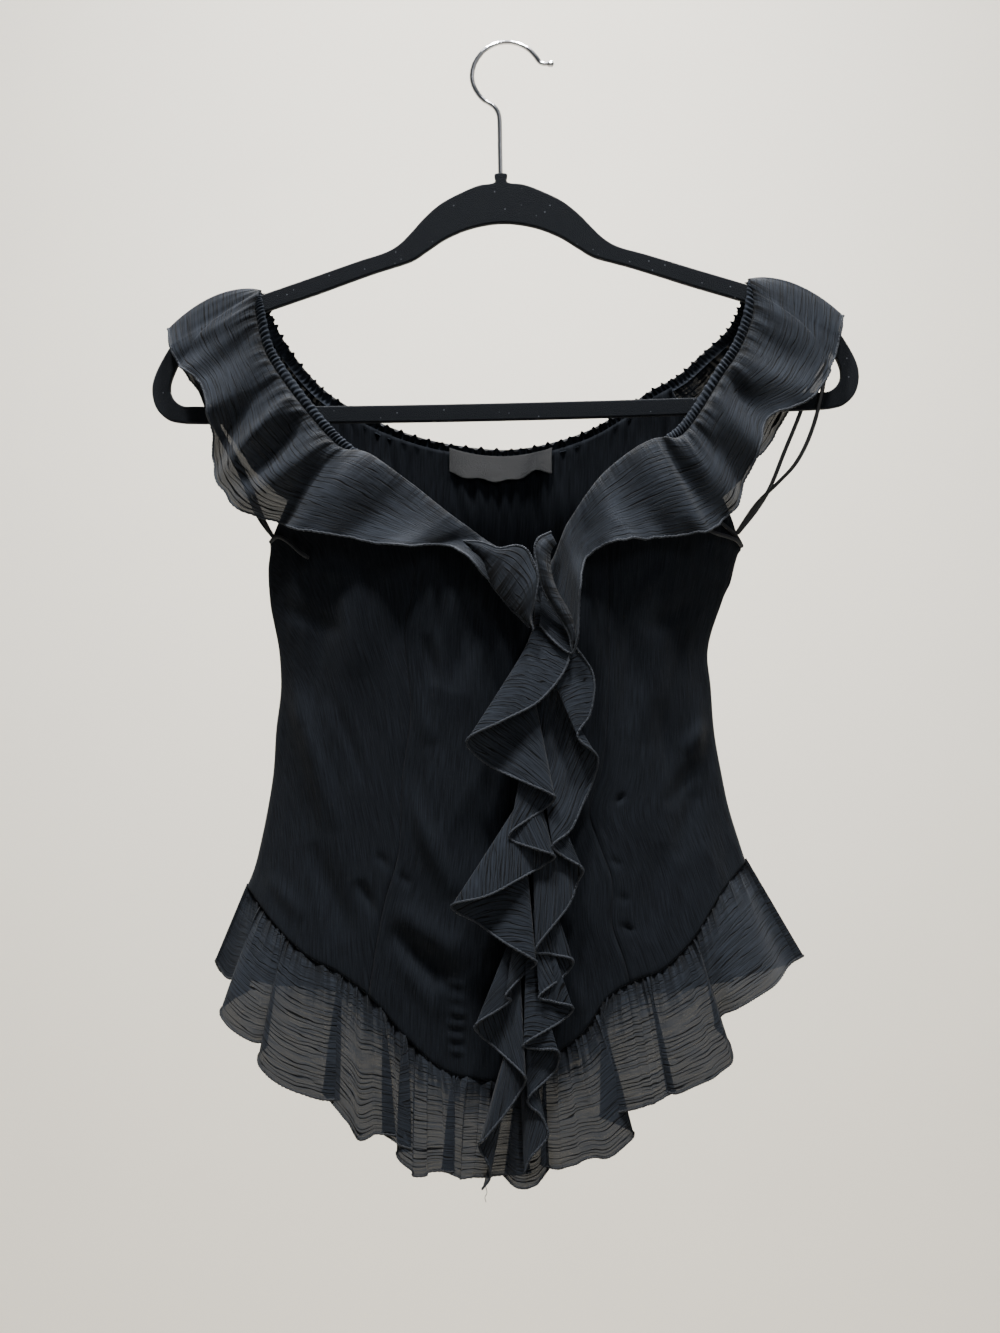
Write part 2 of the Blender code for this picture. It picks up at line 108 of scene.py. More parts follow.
# Rows of the body: height, left edge, right edge, depth of the front, depth of the back
BODY = (
    (-140, -175, 175, 4, 4), (-185, -216, 214, 11, 11), (-230, -214, 210, 19, 17),
    (-270, -184, 178, 26, 22), (-314, -149, 147.5, 31, 27), (-331, -150, 142, 32.5, 28.5),
    (-350, -149, 135.5, 34, 30), (-384, -143, 126, 36, 32), (-405, -142, 128, 36, 32),
    (-432, -145, 130, 36, 32), (-461, -147, 135, 37, 33), (-480, -150, 139, 38, 33),
    (-500, -154, 145, 39, 34), (-520, -159, 152, 40, 35), (-552, -174, 170, 41, 36),
    (-590, -194, 192, 42, 37), (-720, -200, 198, 44, 38),
)

# Hem seams: across, height
FRONT_HEM = (
    (-164, -531), (-142, -554), (-124, -569), (-101, -580), (-81, -595), (-60, -618), (-37, -637),
    (-15, -642), (5, -643), (31, -625), (46, -613), (61, -593), (77, -583), (94, -577), (114, -559),
    (132, -534), (151, -515),
)
BACK_HEM = ((-164, -531), (-120, -538), (0, -541), (110, -536), (151, -516))

# Armholes: across, height
FRONT_ARMHOLE = (
    (-149, -314.5), (-142, -300), (-132, -280), (-122, -262), (-112, -246), (-108, -200), (106, -200),
    (110, -246), (120, -262), (131, -280), (141, -301), (147.5, -317),
)
BACK_ARMHOLE = (
    (-149, -314.5), (-142, -298), (-130, -262), (-120, -240), (-112, -226), (-108, -190), (100, -190),
    (106, -216), (118, -240), (129, -262), (141, -299), (147.5, -317),
)

# Seams that divide the panels: height, across
FRONT_SEAM_LEFT = (
    (-250, -66), (-346, -58), (-365, -62), (-419, -59), (-461, -64), (-510, -67), (-534, -74), (-590, -84),
)
FRONT_SEAM_RIGHT = (
    (-250, 62), (-346, 62), (-406, 62), (-458, 57), (-482, 50), (-498, 55), (-520, 63), (-551, 64),
    (-568, 70), (-600, 78),
)
FRONT_OPENING = ((-320, 20), (-400, 16), (-500, 12), (-600, 7), (-650, 5))
BACK_SEAM_LEFT = ((-230, -40), (-300, -42), (-384, -48), (-460, -52), (-545, -62))
BACK_SEAM_RIGHT = ((-230, 58), (-300, 56), (-384, 48), (-460, 52), (-545, 62))

# Folds of the front: from across, height, to across, height, half width, depth
FRONT_FOLDS = (
    (-138, -390, -106, -494, 7, 3), (-148, -352, -100, -372, 6, -1.8), (-66, -458, -32, -532, 7, 2.6),
    (-20, -350, -34, -408, 8, -2), (46, -345, 60, -400, 8, 2), (124, -404, 116, -474, 6, 2.4),
    (120, -348, 84, -372, 7, -1.8), (-120, -500, -96, -560, 8, -2.2), (96, -500, 84, -560, 8, -2),
    (-146, -395, -128, -430, 4, 1), (-130, -330, -84, -338, 4, 0.9), (-110, -404, -84, -470, 4, -1),
    (-52, -420, -44, -486, 5, 0.9), (-8, -440, -14, -520, 5, -1.1), (38, -430, 34, -500, 5, -0.9),
    (92, -412, 102, -468, 5, -1.1), (100, -330, 76, -352, 4, 1), (-150, -522, -124, -548, 5, 1.2),
    (-72, -556, -40, -606, 6, 1.4), (30, -560, 44, -604, 6, 1.3), (122, -500, 134, -532, 5, 1),
    (-75, -548, -26, -594, 8, -3), (-72, -536, -20, -572, 9, 2.2), (-80, -506, -58, -526, 3, -1.8),
    (-92, -522, -74, -550, 4, -2.2), (127, -441, 98, -480, 6, -2.6), (121, -449, 105, -512, 7, -2.2),
    (134, -420, 108, -446, 5, 1.8), (58, -438, 47, -482, 4, 1.8), (72, -470, 66, -476, 2, -1.4),
    (58, -508, 70, -514, 2.2, -1.8), (62, -528, 74, -536, 2.4, -1.8), (66, -548, 78, -554, 2.2, -1.6),
    (-50, -372, -44, -404, 4, -1.6), (-62, -398, -46, -440, 6, 1.8), (-100, -340, -92, -400, 9, 1.2),
    (-118, -352, -112, -420, 8, -1.2), (76, -345, 70, -430, 8, -1.4), (96, -370, 84, -440, 8, 1.4),
    (-37, -583, -24, -585, 2, 0.8), (-38, -592, -25, -593, 1.9, 0.9), (-36, -600, -24, -602, 2.1, 0.9),
    (-38, -607.5, -24, -609, 1.9, 0.8), (-37, -615.5, -25, -617, 2, 0.8), (-36, -624, -25, -625, 1.8, 0.7),
)

# Folds of the back, as those of the front
BACK_FOLDS = (
    (-140, -360, -104, -430, 8, -2.2), (-142, -396, -92, -478, 7, 2), (132, -360, 96, -430, 8, -2),
    (124, -400, 84, -486, 7, 2.2), (-30, -330, -40, -420, 9, 1.6), (24, -330, 30, -440, 9, -1.8),
    (0, -420, -10, -520, 9, 1.6), (-70, -440, -84, -530, 8, -1.8), (74, -450, 92, -528, 8, -1.8),
    (-120, -470, -60, -500, 6, -1.4), (110, -468, 56, -500, 6, 1.4), (-50, -470, 10, -486, 7, 1.2),
)

# Collar: seam across, seam height, hem across, hem height, side, how far the hem stands off.
# Side is -1 in front, 0 over the top of a hanger arm and 1 behind.
COLLAR = (
    (22, -337, 19, -368, -1, 9), (27, -328, 38, -384, -1, 12), (34, -315, 42, -346, -1, 11),
    (42, -302, 47, -327, -1, 11), (51, -289, 62, -318, -1, 13), (62, -275, 82, -315, -1, 13),
    (79, -261, 104, -311, -1, 12), (96, -251, 122, -305, -1, 11), (107, -242, 138, -290, -1, 10),
    (117, -228, 149, -262, -1, 9), (130, -207, 160, -238, -1, 9), (140.5, -191, 184, -227, -1, 8),
    (148, -172, 202, -204, -1, 6), (151.5, -152, 208, -186, -1, 3), (152, -149.4, 210, -173, 0, 1),
    (151.5, -152, 208, -185, 1, 3), (147, -167, 203, -196, 1, 5), (140, -180, 190, -212, 1, 7),
    (125, -194, 176, -232, 1, 8), (110, -207, 160, -256, 1, 8), (92, -217, 138, -278, 1, 9),
    (72, -231, 104, -296, 1, 9), (52, -242, 68, -309, 1, 9), (27, -250, 35, -319, 1, 9),
    (0, -254, 0, -323, 1, 9), (-30, -251.5, -40, -320, 1, 9), (-57, -246, -72, -311, 1, 9),
    (-84, -236, -106, -299, 1, 9), (-110, -222, -144, -280, 1, 9), (-126, -208, -168, -252, 1, 8),
    (-141, -188, -188, -224, 1, 7), (-150, -170, -204, -206, 1, 5), (-154.5, -159, -210, -193, 1, 3),
    (-155, -156.4, -212, -181, 0, 1), (-154.5, -159, -210, -193, -1, 3), (-152, -170, -204, -204, -1, 6),
    (-147, -190, -190, -215, -1, 8), (-138, -206, -181, -234, -1, 9), (-124, -225, -182, -257, -1, 10),
    (-110, -242, -170, -278, -1, 10), (-98, -254, -147, -297, -1, 11), (-82, -266, -122, -306, -1, 12),
    (-60, -283, -91, -315, -1, 13), (-38, -302, -62, -322, -1, 13), (-21, -315, -36, -320, -1, 12),
    (-6, -326, -16, -336, -1, 11), (6, -332, 1, -357, -1, 11), (16, -337, 13, -369, -1, 10),
)

# Folds of the collar: table row at the seam, table row at the hem, half width in rows, height,
# and how far down the strip it is fullest, from 0 at the seam to 1 at the hem
COLLAR_FOLDS = (
    (32.3, 32.2, 0.20, 2.4, 0.5), (32.8, 32.8, 0.12, -2.2, 0.5), (33.25, 33.3, 0.13, 3, 0.5),
    (33.75, 33.85, 0.16, -4.5, 0.5), (14.5, 14.6, 0.16, 2.6, 0.5), (13.9, 13.9, 0.13, -3, 0.5),
    (34.6, 34.4, 0.40, 4, 0.4), (35.6, 35.8, 0.40, -5.5, 0.45), (36.3, 36.6, 0.45, 4.5, 0.8),
    (37.2, 37.7, 0.36, -8, 0.7), (37.9, 38.7, 0.28, 8.5, 0.42), (38.6, 39.2, 0.34, -8, 0.45),
    (39.5, 39.7, 0.30, 5.5, 0.5), (40, 40.3, 0.22, -5, 0.6), (41, 40.9, 0.55, 5, 0.4),
    (42, 41.9, 0.45, -3.2, 0.7), (43, 42.9, 0.50, 3.6, 0.8), (44, 43.9, 0.35, -3.4, 0.8),
    (44.9, 44.7, 0.35, 3, 0.7), (46.2, 46.1, 0.40, -2.2, 0.7), (12.5, 12.6, 0.40, 4, 0.4),
    (11.6, 11.5, 0.35, -5, 0.5), (10.8, 10.9, 0.40, 5, 0.5), (10, 9.9, 0.30, -7, 0.5),
    (9.3, 9.2, 0.32, 7.5, 0.6), (8.4, 8.5, 0.34, -8, 0.7), (7.5, 7.7, 0.40, 5, 0.4),
    (6.9, 7, 0.25, -5, 0.35), (6.1, 6.2, 0.55, 4.5, 0.5), (5.1, 5, 0.40, -3, 0.8),
    (4.3, 4.2, 0.40, 3.4, 0.7), (3.3, 3.2, 0.35, -2.6, 0.7), (2.2, 2, 0.40, 2.8, 0.6),
    (18, 18.3, 0.6, 5, 0.8), (19.2, 19.1, 0.5, -5, 0.8), (20.4, 20.2, 0.45, 6, 0.8),
    (21.5, 21.8, 0.4, -6, 0.8), (22.5, 22.6, 0.4, 5.8, 0.7), (23.6, 23.5, 0.45, -5.4, 0.8),
    (24.7, 24.5, 0.5, 5.6, 0.8), (25.8, 25.7, 0.4, -6.2, 0.8), (26.9, 27, 0.45, 6, 0.8),
    (28.2, 28, 0.45, -5.6, 0.7), (29.6, 29.4, 0.5, 5, 0.7),
)

# Ends of the collar at the foot of the V, each between two lines: across, height, stand.
# The left end is turned over, the right one is rolled.
LEFT_END = (
    (
        (-26.6, -316.5, 13), (-15.2, -317.5, 14), (-5, -321, 15), (4.6, -319.5, 16), (11.2, -321.7, 17),
        (16, -330, 18), (18.4, -339, 19), (16.6, -352, 19), (14.2, -361.5, 18), (15.4, -370.5, 18),
    ),
    (
        (-26.6, -317, 12), (-21.2, -322.3, 13), (-15.2, -329.5, 13), (-9.8, -340.3, 14), (-6.2, -347.5, 15),
        (-0.8, -353.5, 16), (4, -358.3, 17), (8.8, -363.1, 18), (13, -367.9, 18), (15.4, -371, 18),
    ),
)
RIGHT_END = (
    (
        (26.2, -311, 11), (18.8, -315, 14), (16.4, -322, 16), (18.4, -334, 17), (21.4, -346, 16),
        (28, -358, 15), (36.5, -372, 14), (39, -384, 13),
    ),
    (
        (30, -318, 11), (27, -322, 12), (26, -328, 13), (27, -337, 14), (31, -348, 14),
        (37, -358, 13), (42, -370, 13), (40, -384, 13),
    ),
)

# Frill on each side of the opening: height on the seam, hem across, hem height, stand of the hem
FRILL_LEFT = (
    (-346, 26, -366, 8), (-352, 37, -387, 12), (-359, 21, -411, 17), (-366, -2, -424, 20),
    (-374, -22.5, -434, 19), (-377, -22, -442, 14), (-383, -10, -452, 11), (-390, 10, -461, 17),
    (-398, 26, -468, 18), (-402, 28, -472, 14), (-410, 21, -478, 13), (-423, 3, -490, 16),
    (-427, 3, -496, 15), (-434, 18, -501, 17), (-441, 28, -505, 15), (-446, 24, -510, 9),
    (-452, 8, -518, 17), (-459, -12, -528, 20), (-466, -32, -533, 19), (-469, -30, -539, 13),
    (-475, -19, -545, 10), (-484, -2, -556, 16), (-493, 14, -565, 18), (-498, 17, -569, 14),
    (-504, 11, -575, 10), (-514, -1, -587, 17), (-520, 2, -591, 13), (-528, -5, -596, 15),
    (-538, -18.5, -604, 18), (-543, -17, -611, 12), (-550, -7, -620, 11), (-560, 9, -633, 19),
    (-568, 10, -640, 15), (-580, 1, -654, 17), (-594, -13, -671, 19), (-600, -17, -677, 14),
    (-612, -12, -686, 16), (-624, -10, -695, 15), (-634, -15, -703, 13),
)
FRILL_RIGHT = (
    (-346, 28, -362, 7), (-353, 41, -380, 9), (-360, 52, -398, 11), (-368, 50, -420, 13),
    (-378, 42, -434, 16), (-388, 54, -446, 13), (-398, 52, -460, 9), (-408, 46, -474, 8),
    (-420, 38, -490, 12), (-432, 27, -499, 15), (-439, 34, -506, 12), (-446, 45, -513, 14),
    (-454, 42, -522, 9), (-466, 36, -536, 12), (-480, 17, -560, 15), (-486, 26, -564, 11),
    (-492, 39, -567, 14), (-499, 34, -577, 10), (-508, 19, -588, 15), (-514, 27, -592, 12),
    (-520, 39, -595, 14), (-528, 32, -604, 11), (-538, 10, -616, 17), (-546, 18, -620, 13),
    (-554, 30, -621, 14), (-564, 28, -634, 10), (-578, 12, -650, 13), (-592, 20, -660, 11),
    (-606, 24, -672, 12), (-620, 14, -684, 13), (-634, 10, -694, 12),
)

# Hem ruffles: seam across, hem across, hem height, how far the hem stands off. Where the hem runs
# back on itself the cloth is folded over.
HEM_LEFT = (
    (-164, -184, -578, 0), (-162, -177, -587.5, 2), (-160, -168, -588, 4), (-158, -160, -592, -2),
    (-155, -170, -598, 0), (-152, -177, -605, 6), (-149, -170, -613, 9), (-143, -156, -620, 8),
    (-139, -147, -623, 0), (-136.5, -152, -630, 3), (-134, -149, -636, 9), (-126, -136, -644.5, 11),
    (-114, -115, -651.5, 9), (-104, -101, -653, 3), (-101, -112, -650, -2), (-98, -104, -656, 6),
    (-93, -95, -664, 12), (-88, -88, -675, 9), (-82, -79, -673, 4), (-76, -67, -674, 2),
    (-73, -75, -674, -2), (-70, -68, -677, 6), (-64, -59, -681, 5), (-61, -65, -684, 0),
    (-58, -60, -691, 8), (-53, -54, -696, 10), (-45, -44, -693.5, 7), (-36, -33, -695, 3),
    (-30, -38, -695, -1), (-26, -30, -697, 6), (-14, -18, -696.5, 8), (-6, -8, -697, 3), (4.5, 6, -697, 1),
    (9, 14, -697, 0),
)
HEM_RIGHT = (
    (5.5, -2, -698, 3), (9, 5, -703, 6), (13, 12, -703, 8), (18, 19, -700, 5), (21, 25, -693, 1),
    (24, 20, -692, -2), (28, 28, -692, 6), (34, 40, -689, 9), (40, 51, -685, 7), (45, 60, -685, 9),
    (50, 70, -679, 6), (54, 76, -673, 2), (57, 66, -668, -3), (60, 56, -663, -2), (64, 66, -660, 3),
    (69, 78, -656, 9), (76, 88, -652, 11), (82, 96, -650, 6), (84, 101, -648, 1), (86, 96, -648, 3),
    (90, 102, -648, 9), (98, 114, -643, 11), (106, 126, -638.5, 9), (111, 136, -632, 3),
    (114, 136, -622, -2), (117, 127, -612, -3), (121, 131, -604, 2), (126, 138, -600, 8),
    (134, 151, -594, 9), (142, 165, -588, 6), (148, 177, -580, 3), (151, 187, -574.5, 0),
)
HEM_BACK = (
    (-164, -184, -577, 0), (-158, -180, -588, 3), (-152, -172, -592, 5), (-146, -160, -590, 2),
    (-143, -166, -592, -2), (-139, -158, -596, 5), (-130, -146, -600, 8), (-119, -132, -600, 6),
    (-114, -124, -598, 1), (-111, -131, -599, -2), (-107, -122, -603, 6), (-96, -106, -606, 9),
    (-82, -90, -604, 6), (-77, -83, -602, 0), (-74, -90, -604, -2), (-69, -80, -608, 7),
    (-56, -62, -611, 9), (-42, -44, -609, 6), (-36, -36, -607, 0), (-33, -43, -608, -2),
    (-28, -34, -611, 6), (-14, -17, -613, 9), (0, 2, -611, 6), (6, 9, -609, 0), (9, 2, -610, -2),
    (14, 12, -612, 6), (30, 30, -612, 9), (44, 48, -610, 5), (49, 56, -608, 0), (52, 48, -608, -2),
    (57, 58, -611, 6), (70, 76, -610, 9), (84, 93, -606, 5), (89, 101, -604, 0), (92, 94, -604, -2),
    (97, 104, -606, 6), (110, 122, -603, 9), (122, 137, -598, 5), (127, 146, -595, 0), (130, 139, -594, -1),
    (134, 150, -593, 5), (142, 165, -588, 6), (148, 178, -580, 3), (151, 187, -574.5, 0),
)

# Flutes that stay narrow to the hem, by side and seed: across, spread, width of each, height
FLUTES = {
    (-1, 0.2): ((-62, 20, 14.0, 5.0), (-24, 20, 16.5, 4.8), (-112, 8, 11.0, 1.6)),
    (-1, 0.6): ((30, 14, 12.0, 2.6), (76, 8, 9.0, 1.6), (112, 8, 12.0, 1.8)),
    (1, 0.4): ((-90, 20, 13.0, 2.6), (-20, 26, 13.5, 2.6), (70, 24, 13.0, 2.6)),
}

# Stage, in metres: half the side of its surfaces, where they are, and its camera
STAGE_HALF = 6.0
FLOOR_AT = (0, 0, -2.3)
BACKDROP_AT = (0, 2.6, 0)
CAMERA_AT = (-0.0044, -1.0, -0.3922)
CAMERA_LENS = 42.8
CAMERA_SENSOR = 36.0
AROUND_COLOUR = (0.78, 0.88, 1.0, 1)
AROUND_STRENGTH = 0.08
ROOM_STRENGTH = 0.62

# Name, place, power in watts, side and aim of each light. The wash lights the backdrop.
TOP_AT = (0, 0, -0.4)
WASH_AT = (0, 2.6, -0.6)
LIGHTS = (
    ("key", (-0.42, -0.62, 1.7), 86, 0.22, TOP_AT),
    ("key right", (0.42, -0.62, 1.7), 74, 0.22, TOP_AT),
    ("second", (0.85, -1.5, 0.7), 8, 0.5, TOP_AT),
    ("fill", (0.9, -1.9, -0.1), 2, 1.6, TOP_AT),
    ("back left", (-0.5, 0.75, 1.5), 42, 0.5, TOP_AT),
    ("back right", (0.5, 0.75, 1.5), 34, 0.5, TOP_AT),
    ("wash", (0.0, 0.9, 1.8), 108, 1.6, WASH_AT),
)

# Hanger: half of its outline and half of its window, from the stem: away, height
PLATE = 5.0
PLATE_ROUND = 1.2
TILT = math.radians(1.3)
STEM_X = -5.75
PLATE_OUTSIDE = (
    (3.8, -81.7), (4.2, -87), (14, -88.6), (24, -92.4), (37.8, -99.3), (48.5, -108), (56.9, -116.9),
    (64.5, -124.2), (73.8, -129.5), (91.4, -134.8), (122, -144.8), (154, -155.1), (188, -166.6),
    (203, -176), (210.8, -186), (219.5, -201), (222.8, -212.5), (220.6, -224), (213.8, -231.5),
    (205, -234.1), (194, -234.8), (182, -235.1), (120, -236.2), (40, -237),
)
PLATE_WINDOW = (
    (7, -113.2), (22.5, -116.4), (36.3, -122.2), (47, -129), (57, -135.2), (70, -139.3), (80, -142.2),
    (99, -148.5), (118, -155), (148.4, -164.7), (186, -177.6), (200, -187), (207.6, -201), (211, -210.3),
    (210, -217.9), (203.9, -223.2), (195, -223.8), (184, -224.1), (120, -225.4), (40, -226),
)

# Turned edges of the armholes at the underarm, in front and behind, and a thread left at the
# frill's tip: across, forward, height
BINDING_LEFT = (
    ((-149, 1.6, -314), (-144, 7, -311), (-137, 12, -314), (-129, 16.5, -321), (-123, 19, -325)),
    ((-149, 1.6, -314), (-142, -6, -300), (-131, -10, -266)),
)
BINDING_RIGHT = (
    ((148, 1.6, -316.5), (143, 8, -310), (134, 12.5, -303), (126, 17, -297)),
    ((148, 1.6, -316.5), (143, 9, -313), (136, 13, -311), (128, 17, -309), (120, 19, -304)),
    ((148, 1.6, -316.5), (141, -6, -300), (130, -10, -266)),
)
LOOSE_THREAD = ((-13, 52, -703), (-12.2, 52, -707), (-13.4, 51, -710), (-12.8, 51, -713))

# Ribbon loops, from the underarm up the front of the arm and over it, and from the underarm up
# behind: across, forward, height
LOOP_LEFT = (
    (
        (-147.5, 1.3, -310.5), (-154, 2.2, -298), (-165, 4.1, -271), (-180, 4.5, -244), (-194, 4.5, -216),
        (-200.5, 4.3, -192), (-201, 4.2, -181), (-201, 3.2, -177.4), (-201, 1.6, -176.2), (-201, 0, -176),
    ),
    (
        (-148, -1.3, -310), (-158, -2.2, -296), (-170, -4.1, -268), (-187, -4.5, -236), (-197, -4.5, -208),
        (-201, -4.3, -190), (-201, -4.2, -181), (-201, -3.2, -177.4), (-201, -1.6, -176.2), (-201, 0, -176),
    ),
)
LOOP_RIGHT = (
    (
        (144, 1.3, -309.5), (157, 2.2, -290), (170, 3.9, -277), (181, 4.5, -265), (189.5, 4.5, -249),
        (196, 4.5, -228), (200.5, 4.3, -202), (200, 4.2, -173), (199, 3.2, -169.4),
        (199, 1.6, -168.2), (199, 0, -168),
    ),
    (
        (145.5, -1.3, -308.5), (158, -2.2, -293), (167, -3.9, -278), (175.5, -4.5, -257), (186, -4.5, -231),
        (196, -4.3, -200), (199, -4.2, -173), (199, -3.2, -169.4), (199, -1.6, -168.2), (199, 0, -168),
    ),
)


def srgb(code):
    """A colour written as #rrggbb, as linear values."""
    parts = [int(code[i : i + 2], 16) / 255 for i in (1, 3, 5)]
    return tuple(p / 12.92 if p <= 0.04045 else ((p + 0.055) / 1.055) ** 2.4 for p in parts)


def ease(f, first, last, slope_1, slope_2):
    """A smooth curve between two values with their slopes, for f from 0 to 1."""
    g = 1 - f
    start = first * (1 + 2 * f) * g * g + slope_1 * f * g * g
    return start + last * f * f * (3 - 2 * f) - slope_2 * f * f * g


def read(rows, at, column=1):
    """One column of a table, read smoothly at a value of the table's first column."""
    table = np.array(sorted(rows), float)
    x, y = table[:, 0], table[:, column]
    slope = np.gradient(y, x)
    at = np.clip(at, x[0], x[-1])
    i = np.clip(np.searchsorted(x, at) - 1, 0, len(x) - 2)
    w = x[i + 1] - x[i]
    return ease((at - x[i]) / w, y[i], y[i + 1], slope[i] * w, slope[i + 1] * w)


def follow(rows, along):
    """The rows of a table as one smooth curve, from 0 at the first row to 1 at the last."""
    table = np.array(rows, float)
    t = np.clip(along, 0, 1) * (len(table) - 1)
    i = np.minimum(t.astype(int), len(table) - 2)
    first, last = table[i], table[i + 1]
    slope_1 = (last - table[np.maximum(i - 1, 0)]) / 2
    slope_2 = (table[np.minimum(i + 2, len(table) - 1)] - first) / 2
    return ease((t - i)[..., None], first, last, slope_1, slope_2)


def bell(x, centre, width):
    """1 at the centre, dying out smoothly to both sides."""
    return np.exp(-(((x - centre) / width) ** 2))


def spans(columns, rows):
    """Positions from 0 to 1 along a strip, and down it."""
    return np.linspace(0, 1, columns), np.linspace(0, 1, rows)[:, None]


def lens(x, z, side):
    """How far the body stands from the middle plane, in front (side -1) or behind (side 1)."""
    left, right, front, back = (read(BODY, z, column) for column in (1, 2, 3, 4))
    across = np.clip(np.abs((2 * x - left - right) / (right - left)), 0, 1)
    return SIDE_SEAM_Y + np.where(side < 0, front, back) * (1 - across**LENS_POWER)


def on_top(x, z, side):
    """Points on the body, or clear of the hanger's arms where the cloth passes over them."""
    depth = np.maximum(lens(x, z, np.where(side < 0, -1, 1)), HANGER_CLEAR)
    return np.stack([x, np.clip(side, -1, 1) * depth, z], axis=2)


def folds(x, z, side):
    """The folds of the front or the back, as a change of its depth."""
    total = np.zeros(np.broadcast(x, z).shape)
    for x0, z0, x1, z1, half, depth in FRONT_FOLDS if side < 0 else BACK_FOLDS:
        run = math.hypot(x1 - x0, z1 - z0)
        ux, uz = (x1 - x0) / run, (z1 - z0) / run
        along = ((x - x0) * ux + (z - z0) * uz) / run
        off = (x - x0) * uz - (z - z0) * ux
        total += 1.5 * depth * bell(off, 0, half) * np.clip(1 - (2 * along - 1) ** 2, 0, 1)
    return total


def drift(a, b, seed):
    """Soft unevenness between -1 and 1, for two coordinates given in waves."""
    total = 0.0
    for k in range(5):
        turn = 2.4 * k + seed
        way = a * math.cos(turn) + b * math.sin(turn)
        total = total + np.sin(2 * math.pi * way * (0.7 + 0.23 * k) + 1.7 * k * seed)
    return total / 5


def uneven(u, waves, seed):
    """A wave count that speeds up and slows down along a strip."""
    slow, quick = (np.sin(2 * math.pi * (n * u + k * seed)) for n, k in ((2.3, 1), (5.1, 2)))
    return 2 * math.pi * (waves * u + (0.32 * slow + 0.21 * quick))


def outward(grid):
    """Unit normals of a sheet of points, rows by columns, turned to the outside of the garment."""
    n = np.cross(np.gradient(grid, axis=1), np.gradient(grid, axis=0))
    n = n / np.maximum(np.linalg.norm(n, axis=2, keepdims=True), 1e-9)
    front = n[:, :, 1] * np.sign(grid[:, :, 1] + 1e-6)
    return -n if front.mean() < 0 else n


def upward(grid):
    """Unit directions from each point of a sheet to the row above it."""
    up = -np.gradient(grid, axis=0)
    return up / np.linalg.norm(up, axis=2, keepdims=True)


def add(tree, kind, settings=None, **inputs):
    """A new node with its settings. An input is a value, an output, or a node for its first output."""
    node = tree.nodes.new("ShaderNode" + kind)
    for name, value in (settings or {}).items():
        setattr(node, name, value)
    for name, value in inputs.items():
        key = int(name[1:]) if name[0] == "i" and name[1:].isdigit() else name.replace("_", " ")
        if isinstance(value, bpy.types.Node):
            value = value.outputs[0]
        if isinstance(value, bpy.types.NodeSocket):
            tree.links.new(value, node.inputs[key])
        else:
            node.inputs[key].default_value = value
    return node


def put(context, name, data):
    """A new object in the scene."""
    made = bpy.data.objects.new(name, data)
    context.scene.collection.objects.link(made)
    return made


def mesh_from(context, name, grid, finish, wall=0.0, flat=None):
    """A sheet of points, rows by columns, as a smooth mesh whose UV is its flat cloth in millimetres."""
    rows, columns = grid.shape[:2]
    index = np.arange(rows * columns).reshape(rows, columns)
    corners = (index[:-1, :-1], index[1:, :-1], index[1:, 1:], index[:-1, 1:])
    quads = np.stack(corners, axis=2).reshape(-1)
    mesh = bpy.data.meshes.new(name)
    mesh.vertices.add(rows * columns)
    mesh.vertices.foreach_set("co", (grid.reshape(-1) * MM).astype(np.float32))
    mesh.loops.add(quads.size)
    mesh.loops.foreach_set("vertex_index", quads.astype(np.int32))
    mesh.polygons.add(quads.size // 4)
    mesh.polygons.foreach_set("loop_start", np.arange(0, quads.size, 4, dtype=np.int32))
    mesh.polygons.foreach_set("use_smooth", np.ones(quads.size // 4, dtype=bool))
    mesh.update(calc_edges=True)
    if flat is None:
        along = np.zeros((rows, columns))
        steps = np.linalg.norm(np.diff(grid, axis=1), axis=2)
        along[:, 1:] = np.cumsum(np.broadcast_to(steps.mean(axis=0), steps.shape), axis=1)
        fall = np.linalg.norm(np.diff(grid, axis=0), axis=2).mean(axis=1)
        # The crinkle wanders a little as it runs along
        down = np.concatenate([[0], np.cumsum(fall)])[:, None] + 0.7 * drift(along / 60, 0 * along, 0.3)
        flat = np.stack([along, down], axis=2)
    layer = mesh.uv_layers.new(name="cloth")
    layer.data.foreach_set("uv", flat.reshape(-1, 2)[quads].reshape(-1).astype(np.float32))
    mesh.materials.append(finish)
    made = put(context, name, mesh)
    if wall:
        thicken = made.modifiers.new("wall", "SOLIDIFY")
        thicken.thickness = wall * MM
        thicken.offset = 0.0
    return made


def tube(context, name, line, radius, finish, sides=1, rough=0.0):
    """A round thread along a line of points, which may be rough as overlocked edges are."""
    line = line + rough * np.sin(np.arange(len(line))[:, None] * (2.3, 3.1, 1.9))
    curve = bpy.data.curves.new(name, "CURVE")
    curve.dimensions = "3D"
    curve.bevel_depth = radius * MM
    curve.bevel_resolution = sides
    curve.use_fill_caps = True
    spline = curve.splines.new("POLY")
    spline.points.add(len(line) - 1)
    points = np.concatenate([line * MM, np.ones((len(line), 1))], axis=1)
    spline.points.foreach_set("co", points.reshape(-1).astype(np.float32))
    spline.use_smooth = True
    curve.materials.append(finish)
    return put(context, name, curve)


# Settings of nodes
RGBA = {"data_type": "RGBA"}
MULTIPLY = {"operation": "MULTIPLY"}
MULTIPLY_ADD = {"operation": "MULTIPLY_ADD"}
CLOTH_UV = {"uv_map": "cloth"}
RIBS = {"bands_direction": "Y"}
# How far apart a wave texture's bands stand at a scale of 1
WAVE_APART = 0.314
# From the ground between the crinkles to their ridges, as values of their noise
CRINKLE_SPREAD = {"From_Min": 0.36, "From_Max": 0.64}
# Painted shade of the gathers drawn below a seam, which also hide more there: how far apart, how long and how
# fast they die out, in mm
STROKES_APART = 3.2
STROKES_LONG = 30.0
STROKES_REACH = 11.0


